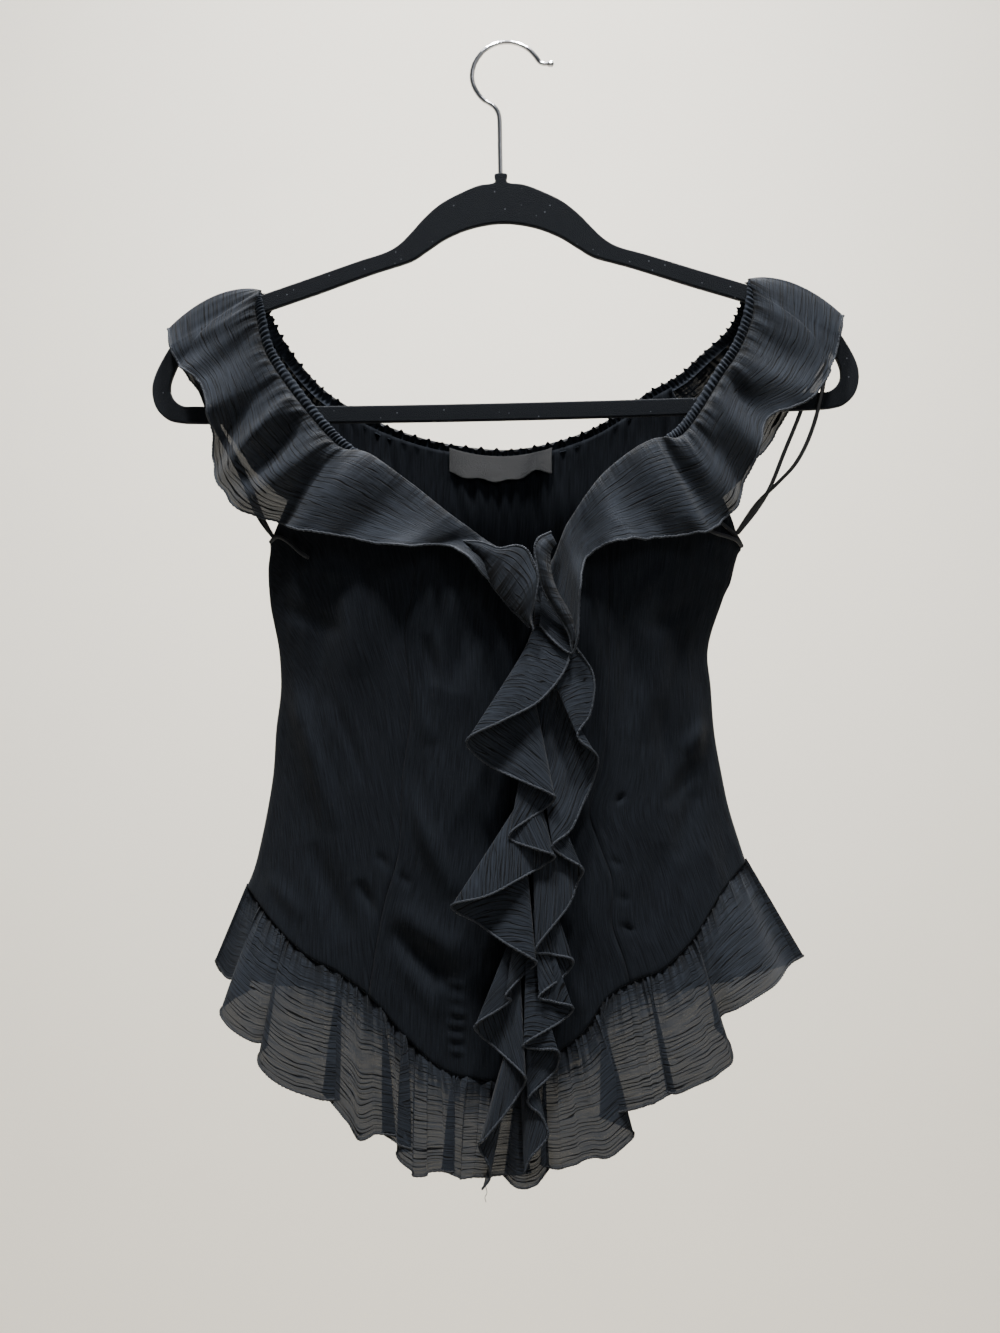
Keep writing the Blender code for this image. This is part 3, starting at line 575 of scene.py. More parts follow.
def shade(colour, times=1.0):
    """A colour made lighter or darker, for a socket."""
    return (*(min(1.0, times * c) for c in colour[:3]), 1)


def new_material(name):
    """A material with an empty tree."""
    made = bpy.data.materials.new(name)
    made.use_nodes = True
    made.node_tree.nodes.clear()
    return made, made.node_tree


def crinkled(name, dark, light, size, look, lean=0.0, creases=None, gathered=False):
    """Crinkled cloth. size is the length and the spacing of its crinkles in mm, look is its depth in mm,
    roughness, cover, gloss and sheen, creases is the length and the spacing of its sharp creases, and
    gathered says that its upper edge is drawn up by a seam. The crinkles' ridges take a painted highlight,
    and the creases and the gathers below the seam take painted shade."""
    depth, roughness, cover, gloss, sheen = look
    made, tree = new_material(name)
    cloth = {}
    uv = add(tree, "UVMap", CLOTH_UV)
    turned = add(tree, "Mapping", Vector=uv, Rotation=(0, 0, lean))
    scaled = add(tree, "Mapping", Vector=turned, Scale=(1 / size[0], 1 / size[1], 1))
    # Crinkles: long narrow ridges, as the twisted yarn pulls them up
    ridge = add(tree, "TexNoise", Vector=scaled, Scale=1.0, Detail=3.0, Roughness=0.6, Distortion=0.2)
    # Weave, drawn at 0.7 mm, coarser than its real 0.25 mm, so that it can be seen
    weave = add(tree, "TexNoise", Vector=turned, Scale=1.4, Detail=1.0)
    height = add(tree, "Math", MULTIPLY_ADD, i0=weave, i1=0.25, i2=ridge)
    # Painted highlight: the ridges are painted lighter than the ground between them, as well as raised by the
    # bump
    tone = add(tree, "MapRange", Value=ridge, **CRINKLE_SPREAD)
    shown = add(tree, "Mix", RGBA, i0=tone, i6=dark, i7=light).outputs[2]
    if creases:
        # Creases: thin lines along the strip, where the cloth is doubled and hides more; their near-black
        # colour is painted shade. They wander and break off.
        spread = add(tree, "Mapping", Vector=turned, Scale=(1 / creases[0], WAVE_APART / creases[1], 1))
        bands = add(
            tree, "TexWave", RIBS,
            Vector=spread, Scale=1.0, Distortion=5.0, Detail=1.0, Detail_Scale=2.2, Detail_Roughness=0.5,
        )
        crest = add(tree, "MapRange", Value=bands.outputs["Fac"], From_Min=0.80, From_Max=0.98)
        broken = add(
            tree, "Mapping", Vector=turned, Scale=(0.9 / creases[0], 0.7 / creases[1], 1), Location=(7, 3, 0),
        )
        breaks = add(tree, "TexNoise", Vector=broken, Scale=1.0, Detail=1.0)
        lasting = add(tree, "MapRange", Value=breaks, From_Min=0.38, From_Max=0.52)
        doubled_and_shaded = add(tree, "Math", MULTIPLY, i0=crest, i1=lasting)
        # Cover: the ridges hide a little more, the creases and the gathered seam hide all
        hides = add(
            tree, "MapRange", Value=ridge, **CRINKLE_SPREAD, To_Min=cover - 0.025, To_Max=cover + 0.01,
        )
        if gathered:
            # Gathers: strokes across the strip, dying out below the seam; the cloth there hides more, and its
            # dark colour is painted shade
            apart = add(tree, "SeparateXYZ", Vector=uv)
            away = add(tree, "Math", MULTIPLY, i0=apart.outputs["Y"], i1=-1 / STROKES_REACH)
            near = add(tree, "Math", {"operation": "EXPONENT"}, i0=away)
            pulled = add(tree, "Mapping", Vector=uv, Scale=(1 / STROKES_APART, 1 / STROKES_LONG, 1))
            strokes = add(tree, "TexNoise", Vector=pulled, Scale=1.0, Detail=2.0)
            stroke = add(
                tree, "MapRange", Value=strokes, From_Min=0.44, From_Max=0.58, To_Min=0.35, To_Max=1.3,
            )
            gather = add(tree, "Math", {**MULTIPLY, "use_clamp": True}, i0=stroke, i1=near)
            doubled_and_shaded = add(tree, "Math", {"operation": "MAXIMUM"}, i0=doubled_and_shaded, i1=gather)
            hides = add(tree, "Math", MULTIPLY_ADD, i0=near, i1=0.06, i2=hides)
        # Painted shade: the creases and the gathers darken the colour nearly to black
        shown = add(tree, "Mix", RGBA, i0=doubled_and_shaded, i6=shown, i7=shade(dark, 0.12)).outputs[2]
        height = add(tree, "Math", MULTIPLY_ADD, i0=doubled_and_shaded, i1=-1.2, i2=height)
        hidden = add(tree, "Math", {**MULTIPLY_ADD, "use_clamp": True}, i0=doubled_and_shaded, i1=0.08, i2=hides)
        cloth["Alpha"] = hidden
    bump = add(tree, "Bump", Strength=1.0, Distance=depth * MM, Height=height)
    shader = add(
        tree, "BsdfPrincipled", Base_Color=shown, Normal=bump, Roughness=roughness,
        Specular_IOR_Level=gloss, Sheen_Weight=sheen, Sheen_Roughness=0.5, **cloth,
    )
    add(tree, "OutputMaterial", Surface=shader)
    return made


def grained(name, fineness, detail, tones, rough, bump=None, in_mm=False, **surface):
    """A finish with a fine grain. fineness is 1 over the size of its grain, in metres or, on cloth, in
    mm. tones are its two tones, or its only one, rough is its roughness, or the range that the grain
    gives it, and bump is the grain's strength and its depth in mm."""
    made, tree = new_material(name)
    at = add(tree, "UVMap", CLOTH_UV) if in_mm else add(tree, "TexCoord").outputs["Object"]
    grain = add(tree, "TexNoise", Vector=at, Scale=fineness, Detail=detail)
    height, shown = grain, tones[0]
    if len(tones) > 1:
        shown = add(tree, "Mix", RGBA, i0=grain, i6=tones[0], i7=tones[1]).outputs[2]
    if name == "woven label":
        # Ribs of the damask, drawn at 0.8 mm
        ribs = add(tree, "TexWave", RIBS, Vector=at, Scale=1.25, Distortion=0.4)
        height = add(tree, "Math", {"operation": "ADD"}, i0=ribs.outputs["Fac"], i1=grain)
    if name == "black flock":
        # Pale lint here and there
        specks = add(tree, "TexVoronoi", Vector=at, Scale=210.0, Randomness=1.0)
        lint = add(tree, "MapRange", Value=specks, From_Min=0.10, From_Max=0.05)
        shown = add(tree, "Mix", RGBA, i0=lint, i6=shown, i7=(0.11, 0.12, 0.14, 1)).outputs[2]
    if isinstance(rough, tuple):
        rough = add(tree, "MapRange", Value=grain, To_Min=rough[0], To_Max=rough[1])
    if bump:
        surface["Normal"] = add(tree, "Bump", Strength=bump[0], Distance=bump[1] * MM, Height=height)
    shader = add(tree, "BsdfPrincipled", Base_Color=shown, Roughness=rough, **surface)
    add(tree, "OutputMaterial", Surface=shader)
    return made


def finish_named(context, name):
    """One of the top's materials, made once."""
    if name in bpy.data.materials:
        return bpy.data.materials[name]
    sizes, colours = settings(context)
    dark = shade(colours.cloth)
    # Painted highlight: the ridges of the crinkle are painted greyer and lighter than the ground between
    # them, standing in for their shine
    grey = sum(dark[:3]) / 3
    ridge = tuple(1.35 * c + 0.65 * grey for c in dark[:3])
    if name.startswith("lined crepe"):
        # Matte black with a fine upright grain whose ridges take a painted highlight; opaque, as it is lined
        lean = math.radians(24) if "slanted" in name else 0.0
        grain = (sizes.crinkle * 0.34, 18.0)
        return crinkled(name, shade(ridge, 0.5), shade(ridge, 1.15), grain, (0.3, 0.8, 1.0, 0.05, 0.03), lean)
    if name.startswith("sheer chiffon"):
        # Single layer: the wall shows through it as mid grey, with thin creases painted dark as shade
        along, fine = (46.0, sizes.crinkle * 1.15), (20.0, sizes.crinkle * 0.5)
        look = (0.3, 0.76, sizes.cover, 0.09, 0.06)
        return crinkled(
            name, shade(ridge), shade(ridge, 2.3), fine, look, creases=along, gathered="strip" in name,
        )
    if name == "gathered chiffon over elastic":
        # Matte and closely ridged across its length, its ridges painted lighter as a painted highlight
        return crinkled(name, dark, shade(ridge, 2.3), (1.6, 9.0), (0.25, 0.85, 1.0, 0.09, 0.04))
    if name.startswith("overlocked thread"):
        # Rough thread with specks of 0.7 mm, in two copies: one whose specks are a painted highlight, four
        # times as light, and one painted dark as shade, its specks barely lighter
        painted_lit_specks = shade(dark, 1.3 if name.endswith("dark") else 4.0)
        return grained(name, 1400.0, 2.0, (dark, painted_lit_specks), 0.8, (1.0, 0.4))
    if name == "woven label":
        # Dull damask with a slight shine on its ribs
        tones = (shade(colours.label), shade(colours.label, 1.8))
        return grained(name, 1.2, 3.0, tones, 0.6, (0.6, 0.2), True, Specular_IOR_Level=0.36)
    if name == "satin ribbon":
        # Smooth and a little shiny
        return grained(name, 1.0, 2.0, (shade(colours.ribbon),), (0.35, 0.5), (0.5, 0.1), True)
    if name == "black flock":
        # Velvety nap that takes nearly all light, drawn at 0.6 mm, coarser than its fibres
        tones = (shade(colours.flock), shade(colours.flock, 2.2))
        return grained(
            name, 1600.0, 3.0, tones, 0.95, (1.0, 0.5), Sheen_Weight=0.13, Specular_IOR_Level=0.12,
        )
    if name == "plated wire":
        # Bright nickel with fine wear
        return grained(name, 260.0, 4.0, (shade(colours.wire),), (0.12, 0.26), Metallic=1.0)
    # Painted studio surface
    return grained(name, 3.0, 4.0, (shade(colours.stage, 0.96), shade(colours.stage)), 0.9)


def ladder(row):
    """1 where the casing shows beside the collar, on the front of each shoulder, and 0 elsewhere."""
    spans_shown = ((34.2, 40.3), (7.2, 12.8))
    return sum(1 / (1 + np.exp(-(row - a) / 0.18)) / (1 + np.exp((row - b) / 0.18)) for a, b in spans_shown)


def casing_band(columns, rows, width=CASING_WIDTH):
    """The neck's casing as a plain band, from one end of the V to the other."""
    u = np.linspace(0, 1, columns)
    seam_x, seam_z, hem_x, hem_z, side, _ = follow(COLLAR, u).T
    run = np.hypot(hem_x - seam_x, hem_z - seam_z)
    w = np.linspace(0, width, rows)[:, None]
    return on_top(seam_x + (hem_x - seam_x) / run * w, seam_z + (hem_z - seam_z) / run * w, side), u, side


def casing_sheet(columns, rows, gathers):
    """The casing, gathered over its elastic: cross ridges, fullest along its middle."""
    grid, u, side = casing_band(columns, rows)
    w = np.linspace(0, 1, rows)[:, None]
    lean = 1.1 * np.sin(math.pi * w) + 0.5 * np.sin(37 * u)
    ridge = np.sin(uneven(u, gathers, 0.4) + lean)
    ridge = (np.abs(ridge) ** 0.7 * np.sign(ridge)) * (0.75 + 0.25 * np.sin(61 * u))
    bulge = 1.5 * np.sin(math.pi * w) ** 0.7 + 0.75 * ridge * np.sin(math.pi * w) ** 0.4
    # Behind the neck the gathered cloth stands up in a rough heading
    heading = np.where(side > 0.5, 1.7, 0.35)
    rough = np.sin(uneven(u, gathers * 0.47, 0.9)) + 0.7 * np.sin(uneven(u, gathers * 0.83, 0.1))
    frayed = heading * (1 - w) ** 3 * (0.6 + 0.6 * rough)
    return grid + outward(grid) * bulge[..., None] + upward(grid) * frayed[..., None]


def collar_sheet(columns, rows, wave_height):
    """The collar ruffle: it stands up from the seam, turns over and falls in folds and waves to the hem."""
    u, v = spans(columns, rows)
    v = v**COLLAR_EASE
    seam_x, seam_z, hem_x, hem_z, side, off = follow(COLLAR, u).T
    row = u * (len(COLLAR) - 1)
    beside = ladder(row)
    start = CASING_WIDTH * beside / np.hypot(hem_x - seam_x, hem_z - seam_z)
    down = start + (1 - start) * v
    over = np.clip(1 - np.abs(side), 0, 1)
    x = seam_x + (hem_x - seam_x) * down
    z = seam_z + (hem_z - seam_z) * down + COLLAR_CROWN * over * 4 * v * (1 - v)
    grid = on_top(x, z, side)
    ends = np.clip(np.minimum(u, 1 - u) / 0.05, 0, 1)
    small = np.minimum(off / 10, 1.0)
    # Rolled over the casing, or springing from beside it
    stand = (COLLAR_ROLL - 5.5 * beside) * (v / 0.10) * np.exp(1 - v / 0.10)
    puff = COLLAR_PUFF * (1 - np.exp(-v / 0.08)) * np.exp(-v / 0.9)
    swing = np.sin(uneven(u, COLLAR_WAVES, 0.13)) * (0.8 + 0.2 * np.sin(17 * u))
    wave = wave_height * swing * ends * small * v**1.2
    for seam_row, hem_row, half, height, fullest in COLLAR_FOLDS:
        centre = seam_row + (hem_row - seam_row) * v
        fall = np.sin(math.pi * v ** (0.69 / -math.log(fullest))) if fullest < 0.6 else v**0.6
        wave = wave + height * small * bell(row, centre, half * (0.7 + 0.6 * v)) * fall
    # Puckers held by the seam, dying out down the strip
    pleat = np.maximum(np.sin(uneven(u, COLLAR_PUCKERS, 0.31) + 2.0 * drift(u * 30, v, 0.7)), -0.4)
    held = (0.5 + 1.4 * (side > 0.5) + 2.0 * beside) * small
    reach = 0.14 + 0.10 * drift(u * 25, u, 2.2)
    wave = wave + held * pleat * (1 - np.exp(-v / 0.04)) * np.exp(-v / reach)
    wave = wave + 0.8 * small * drift(u * 46, v * 1.3, 1.9) * v**0.5
    wave = wave + 0.7 * small * np.sin(uneven(u, COLLAR_RIPPLES, 0.77)) * v**4
    shift = 1.5 + puff * small * ends + off * v**1.4 + wave
    # The edge puckers a little where it is overlocked
    rise = (stand * ends + 0.8 * drift(u * 95, v, 0.4) * v**6) * small
    return grid + outward(grid) * shift[..., None] + upward(grid) * rise[..., None]


def end_sheet(lines, columns, rows, bulge):
    """An end of the collar between its two lines, bulging towards the front."""
    u, v = spans(columns, rows)
    first, last = (follow(line, u) for line in lines)
    x, z, stand = np.moveaxis(first + (last - first) * v[..., None], 2, 0)
    stand = stand + bulge * 4 * v * (1 - v) * np.sin(math.pi * u) ** 0.6
    stand = stand + 0.6 * drift(u * 5, v * 0.8, 1.1) * np.sin(math.pi * v)
    return np.stack([x, -lens(x, z, -1) - stand, z], axis=2)[::-1]


def top_edge(x, side):
    """Height of the top edge of the body: the underside of the casing, or the armhole."""
    casing = casing_band(600, 3, CASING_WIDTH - CASING_LAP)[0][2]
    line = casing[casing[:, 1] * side > HANGER_CLEAR + 0.5]
    order = np.argsort(line[:, 0])
    neck = np.interp(x, line[order, 0], line[order, 2])
    if side < 0:
        neck = neck - 3.0 * bell(x, V_FOOT_X, 14)
    return np.minimum(neck, np.interp(x, *np.array(FRONT_ARMHOLE if side < 0 else BACK_ARMHOLE).T))


def panel_sheet(left, right, hem, side, columns, rows, seed):
    """A body panel between two seams, from the top edge to the hem seam, with its gathers and folds."""
    s, t = spans(columns, rows)
    z = np.full((rows, columns), -420.0)
    for _ in range(12):
        low = left(z) - SEAM_LAP / 2
        high = right(z) + SEAM_LAP / 2
        x = low + (high - low) * s
        top = top_edge(x, side)
        z = top + (read(hem, x) + SEAM_GAP - top) * t
    near = np.minimum(x - low, high - x)
    inner = np.clip(near / SEAM_FADE, 0, 1)
    inner = inner * inner * (3 - 2 * inner)
    depth = lens(x, z, side) + folds(x, z, side) * inner
    below = top - z
    # Gathers that fall from the casing
    gather = np.sin(2 * math.pi * (x / GATHERS_APART + 0.35 * drift(x / 40, z / 60, seed)))
    held = 0.85 if side < 0 else 1.5
    depth = depth + held * gather * np.exp(-below / GATHERS_REACH) * inner * np.clip(below / 4, 0, 1)
    # Soft unevenness of hung cloth, drawn out downwards
    depth = depth + 0.9 * drift(x / 36, z / 90, seed + 0.6) * inner
    depth = depth + 0.22 * drift(x / 11, z / 46, seed + 2.1) * inner
    # The seams lie in shallow grooves between their turned edges
    depth = depth - SEAM_GROOVE * bell(near, 0, 1.3) + SEAM_GROOVE / 2 * bell(near, 3.4, 2.0)
    depth = depth - 0.6 * bell(z - read(hem, x), 0, 1.6)
    return np.stack([x, side * depth, z], axis=2)


def frill_sheet(table, side_x, columns, rows, seed):
    """A falling frill: straight along its seam, its hem swinging to and fro so that the lobes overlap."""
    u, v = spans(columns, rows)
    seam_z, hem_x, hem_z, off = follow(table, u).T
    seam_x = read(FRONT_OPENING, seam_z) + side_x * FRILL_APART
    x = seam_x + (hem_x - seam_x) * v
    z = seam_z + (hem_z - seam_z) * v
    # It springs away from the seam before it falls
    stand = 1.2 + (off - 1.2) * (0.55 * v + 0.45 * (1 - np.exp(-v / 0.22)))
    ripple = np.sin(uneven(u, FRILL_RIPPLES, seed)) * np.exp(-v / 0.2)
    soft = 0.5 * drift(u * 22, v * 0.8, seed) * v + 0.6 * ripple * v
    return np.stack([x, -lens(x, z, -1) - stand - soft, z], axis=2)


def flounce_pattern(grid, inner):
    """Where each point of a frill lay in its flat cut, which runs round and round in a ring."""
    hem = np.linalg.norm(np.diff(grid[-1], axis=0), axis=1)
    width = np.linalg.norm(np.diff(grid, axis=0), axis=2).sum(axis=0).mean()
    turn = np.concatenate([[0], np.cumsum(hem)]) / (inner + width)
    radius = inner + width * np.linspace(0, 1, grid.shape[0])[:, None]
    return np.stack([radius * np.cos(turn), radius * np.sin(turn)], axis=2)


def hem_sheet(table, hem, side, columns, rows, seed, wave_height):
    """A hem ruffle: gathered at its seam, opening into broad folds that lap over one another at its edge."""
    u, v = spans(columns, rows)
    v = v**HEM_EASE
    seam_x, hem_x, hem_z, off = follow(table, u).T
    # The slow run of the hem without its folds, which open out faster than it falls
    width = columns // 9
    kernel = np.hanning(2 * width + 1)
    padded = np.pad(hem_x, width, mode="reflect", reflect_type="odd")
    smooth = np.convolve(padded, kernel / kernel.sum(), mode="valid")
    x = seam_x + (smooth - seam_x) * v + (hem_x - smooth) * v**0.55
    # Its top edge is tucked behind the panels
    top = read(hem, seam_x) + HEM_TUCK
    z = top + (hem_z - top) * v
    ends = np.clip(np.minimum(u, 1 - u) / 0.03, 0, 1)
    # Deep gathers whose sides lap over one another beside the seam
    turn = uneven(u, HEM_GATHERS[side], seed + 0.2) + 1.2 * drift(u * 12, v, seed)
    reach = 0.13 + 0.09 * drift(u * 17, 0 * v, seed + 3.0)
    held = ends * (1 - np.exp(-v / 0.03)) * np.exp(-v / reach)
    shift = off * v**1.1 + 2.6 * np.maximum(np.cos(turn), -0.6) * held
    x = x - 1.5 * np.sin(2 * turn) * held
    for centre, spread, waves, height in FLUTES[(side, seed)]:
        part = bell(seam_x, centre, spread) * ends * (v**0.35 * (1 - 0.55 * v))
        turn = 2 * math.pi * (seam_x - centre) / waves
        shift = shift + height * np.cos(turn) * part
        x = x - 0.75 * height * np.sin(2 * turn) * part
    shift = shift + 0.12 * wave_height * drift(u * 14, v * 1.2, seed + 1) * ends * v**0.5
    shift = shift + 3.0 * (1 - np.exp(-v / 0.3)) * ends - 2.4 * np.exp(-v / 0.08)
    # Front and back meet at the side seams
    met = bell(seam_x, SIDE_SEAM_LEFT, MEETING) + bell(seam_x, SIDE_SEAM_RIGHT, MEETING)
    depth = (lens(x, z, side) + shift) * (1 - met) - 0.3 * met
    return np.stack([x, side * depth, z], axis=2)


def path(points, count):
    """A smooth line through points written as across, forward, height."""
    return follow(points, np.linspace(0, 1, count)) * np.array([1, -1, 1])


def loop_sheet(strands, lean, columns):
    """A ribbon from the underarm up the front of the arm, over it and down behind."""
    front, back = (path(strand, columns) for strand in strands)
    line = np.concatenate([front, back[::-1][1:]])
    width = np.array([math.cos(lean), 0, math.sin(lean)]) * RIBBON_HALF_WIDTH
    return np.stack([line + width * k for k in (-1, -0.4, 0.4, 1)])


def label_sheet(columns, rows):
    """The bare label, held by its upper corners inside the back of the neck, sagging between them."""
    s, t = spans(columns, rows)
    x = LABEL_LEFT + LABEL_WIDTH * s + 0 * t
    sag = 4 * s * (1 - s)
    # A fold lifts its lower edge near the right end
    fold = bell(x, 17, 7) * t
    z = LABEL_TOP - LABEL_DROP * t - 5.5 * sag + 4.0 * fold + 0.9 * np.sin(x / 3.1 + 1) * t
    soft = 0.4 * drift(x / 30, z / 14, 0.5) * t + 2.4 * fold
    return np.stack([x, lens(x, z, 1) - 1.4 - 1.5 * t * sag - soft, z], axis=2)


def hanger_outline(half, count):
    """A closed, rounded outline from its half, turned with the hanger's slight tilt."""
    whole = [(STEM_X + a, h) for a, h in half] + [(STEM_X - a, h) for a, h in reversed(half)]
    turn = np.linspace(0, len(whole), count, endpoint=False)
    x, z = follow(whole[-1:] + whole + whole[:2], (1 + turn) / (len(whole) + 2)).T
    c, s = math.cos(TILT), math.sin(TILT)
    return np.stack([x * c - z * s, x * s + z * c], axis=1)


def hanger_plate(context, name, finish):
    """The flat plate of the hanger: one outline with its window, with rounded rims."""
    curve = bpy.data.curves.new(name, "CURVE")
    curve.dimensions = "2D"
    curve.fill_mode = "BOTH"
    curve.extrude = (PLATE / 2 - PLATE_ROUND) * MM
    curve.bevel_depth = PLATE_ROUND * MM
    curve.bevel_resolution = 3
    curve.offset = -PLATE_ROUND * MM
    for half in (PLATE_OUTSIDE, PLATE_WINDOW):
        ring = hanger_outline(half, 300)
        line = curve.splines.new("POLY")
        line.points.add(len(ring) - 1)
        line.points.foreach_set("co", np.insert(ring * MM, (2, 2), (0, 1), axis=1).ravel())
        line.use_cyclic_u = True
    curve.materials.append(finish)
    made = put(context, name, curve)
    made.rotation_euler = (math.radians(90), 0, 0)
    return made


def place(piece, node=None):
    """Attaches a piece to the root body, and hides the CAD node that it stands for."""
    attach(piece, "root")
    if node:
        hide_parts(node)


def ruffle(context, name, node, grid, finishes, pattern=None):
    """A gathered strip of chiffon with the overlocked thread along its lower edge."""
    finish, thread = (finish_named(context, each) for each in finishes)
    piece = mesh_from(context, name + "_cloth" if node else name, grid, finish, flat=pattern)
    place(piece, node)
    radius = settings(context)[0].edge / MM / 2
    edge = tube(context, name + "_edge", grid[-1], radius, thread, rough=EDGE_ROUGH)
    place(edge)


def length(name, about, default, least, most):
    """A length that the user can change, in metres."""
    return FloatProperty(
        name=name, description=about, default=default, min=least, max=most,
        subtype="DISTANCE", unit="LENGTH",
    )


def tone(name, about, code):
    """A colour that the user can change."""
    return FloatVectorProperty(
        name=name, description=about, default=srgb(code), subtype="COLOR", size=3, min=0.0, max=1.0,
    )


class RuffleTopSizes(PropertyGroup):
    """Sizes of the ruffle top's cloth."""

    crinkle: FloatProperty(
        name="Crinkle Spacing", description="Distance between the chiffon's crinkles, in millimetres",
        default=2.0, min=0.5, max=6.0,
    )
    cover: FloatProperty(
        name="Sheer Cover", description="How much a single layer of chiffon hides", default=0.972,
        min=0.2, max=1.0, subtype="FACTOR",
    )
    collar_wave: length("Collar Wave", "Height of the collar's waves at its hem", 0.004, 0.0, 0.02)
    hem_wave: length("Hem Wave", "Height of the hem ruffles' waves at their edge", 0.0075, 0.0, 0.02)
    gathers: IntProperty(
        name="Casing Gathers", description="Number of gathers round the neck's elastic casing",
        default=330, min=20, max=600,
    )
    edge: length("Edge Thread", "Thickness of the rolled edges", 0.0015, 0.0002, 0.003)


class RuffleTopColours(PropertyGroup):
    """Colours of the ruffle top and its hanger."""

    cloth: tone("Cloth", "Darkest tone of the black cloth", "#0b0f15")
    label: tone("Label", "Tone of the bare label", "#101215")
    ribbon: tone("Ribbon", "Tone of the ribbon loops", "#0b0b0d")
    flock: tone("Flock", "Tone of the hanger's flock", "#05080d")
    wire: tone("Wire", "Tone of the plated hook", "#c9c9cc")
    stage: tone("Stage", "Tone of the floor and the backdrop", "#f1ebde")


def settings(context):
    return context.scene.ruffle_top_sizes, context.scene.ruffle_top_colours


class RUFFLETOP_OT_hanger(Operator):
    """Finish the flocked hanger and its plated hook"""

    bl_idname = "ruffle_top.hanger"
    bl_label = "Hanger"

    def execute(self, context):
        plate = hanger_plate(context, "hanger_frame_flock", finish_named(context, "black flock"))
        place(plate, "hanger_frame")
        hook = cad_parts["hanger_hook"]
        hook.data.materials.clear()
        hook.data.materials.append(finish_named(context, "plated wire"))
        return {"FINISHED"}


class RUFFLETOP_OT_casing(Operator):
    """Build the gathered elastic casing round the neck"""

    bl_idname = "ruffle_top.casing"
    bl_label = "Neck Casing"

    def execute(self, context):
        grid = casing_sheet(2400, 11, settings(context)[0].gathers)
        finish = finish_named(context, "gathered chiffon over elastic")
        piece = mesh_from(context, "neck_elastic_cloth", grid, finish)
        place(piece, "neck_elastic")
        return {"FINISHED"}


class RUFFLETOP_OT_body(Operator):
    """Build the seven lined panels of the body"""

    bl_idname = "ruffle_top.body"
    bl_label = "Body Panels"

    def execute(self, context):
        def seam(rows):
            return lambda z: read(rows, z)

        def side_seam(column):
            return lambda z: read(BODY, np.minimum(z, UNDERARM), column)

        far_left, far_right, opening = side_seam(1), side_seam(2), seam(FRONT_OPENING)
        front_left, front_right = seam(FRONT_SEAM_LEFT), seam(FRONT_SEAM_RIGHT)
        back_left, back_right = seam(BACK_SEAM_LEFT), seam(BACK_SEAM_RIGHT)
        front, back = (FRONT_HEM, -1), (BACK_HEM, 1)
        for seed, (name, left, right, cut, columns, rows, lie, flat) in enumerate((
            ("front_side_left", far_left, front_left, front, 70, 180, "slanted", (0.10, 0.33)),
            ("front_centre_left", front_left, opening, front, 66, 210, "vertical", (0.11, 0.34)),
            ("front_centre_right", opening, front_right, front, 54, 210, "vertical", (0.075, 0.31)),
            ("front_side_right", front_right, far_right, front, 70, 180, "vertical", (0.10, 0.33)),
            ("back_side_left", far_left, back_left, back, 54, 130, "vertical", (0.12, 0.32)),
            ("back_centre", back_left, back_right, back, 54, 130, "vertical", (0.12, 0.30)),
            ("back_side_right", back_right, far_right, back, 54, 130, "vertical", (0.11, 0.32)),
        )):
            grid = panel_sheet(left, right, *cut, columns, rows, 0.37 * seed)
            finish = finish_named(context, f"lined crepe, {lie} crinkle")
            piece = mesh_from(context, name + "_cloth", grid, finish, PANEL_WALL)
            place(piece, name)
        return {"FINISHED"}


class RUFFLETOP_OT_collar(Operator):
    """Build the collar ruffle with its rolled edge"""

    bl_idname = "ruffle_top.collar"
    bl_label = "Collar Ruffle"

    def execute(self, context):
        # The edge takes the copy of the thread with painted highlight specks
        finishes = ("sheer chiffon, crinkle along the strip", "overlocked thread")
        grid = collar_sheet(1500, 44, settings(context)[0].collar_wave / MM)
        ruffle(context, "collar_ruffle", "collar_ruffle", grid, finishes)
        for name, lines, bulge, flat in (
            ("collar_ruffle_end_left", LEFT_END, 3.5, (0.075, 0.03)),
            ("collar_ruffle_end_right", RIGHT_END, 4.0, (0.08, 0.014)),
        ):
            grid = end_sheet(lines, 160, 36, bulge)
            ruffle(context, name, None, grid, finishes)
        return {"FINISHED"}


class RUFFLETOP_OT_frills(Operator):
    """Build the two frills that fall beside the front opening"""

    bl_idname = "ruffle_top.frills"
    bl_label = "Front Frills"

    def execute(self, context):
        # The edges take the copy of the thread with painted highlight specks
        finishes = ("sheer chiffon, cut in the round", "overlocked thread")
        for name, table, side_x, seed, flat, area in (
            ("frill_left", FRILL_LEFT, -1, 0.3, (0.45, 0.06), 0.0115),
            ("frill_right", FRILL_RIGHT, 1, 1.4, (0.42, 0.06), 0.0105),
        ):
            grid = frill_sheet(table, side_x, 1000, 36, seed)
            pattern = flounce_pattern(grid, FRILL_INNER_RADIUS)
            ruffle(context, name, name, grid, finishes, pattern)
        return {"FINISHED"}


class RUFFLETOP_OT_hem_ruffles(Operator):
    """Build the three hem ruffles of the peplum"""

    bl_idname = "ruffle_top.hem_ruffles"
    bl_label = "Hem Ruffles"

    def execute(self, context):
        # The edges take the copy of the thread painted dark as shade
        finishes = ("sheer chiffon, crinkle along the strip", "overlocked thread, shade painted dark")
        wave = settings(context)[0].hem_wave / MM
        for name, table, hem, side, columns, seed, flat in (
            ("hem_ruffle_left", HEM_LEFT, FRONT_HEM, -1, 800, 0.2, (0.31, 0.072)),
            ("hem_ruffle_right", HEM_RIGHT, FRONT_HEM, -1, 800, 0.6, (0.31, 0.072)),
            ("hem_ruffle_back", HEM_BACK, BACK_HEM, 1, 1050, 0.4, (0.52, 0.076)),
        ):
            grid = hem_sheet(table, hem, side, columns, 40, seed, wave)
            ruffle(context, name, name, grid, finishes)
        return {"FINISHED"}


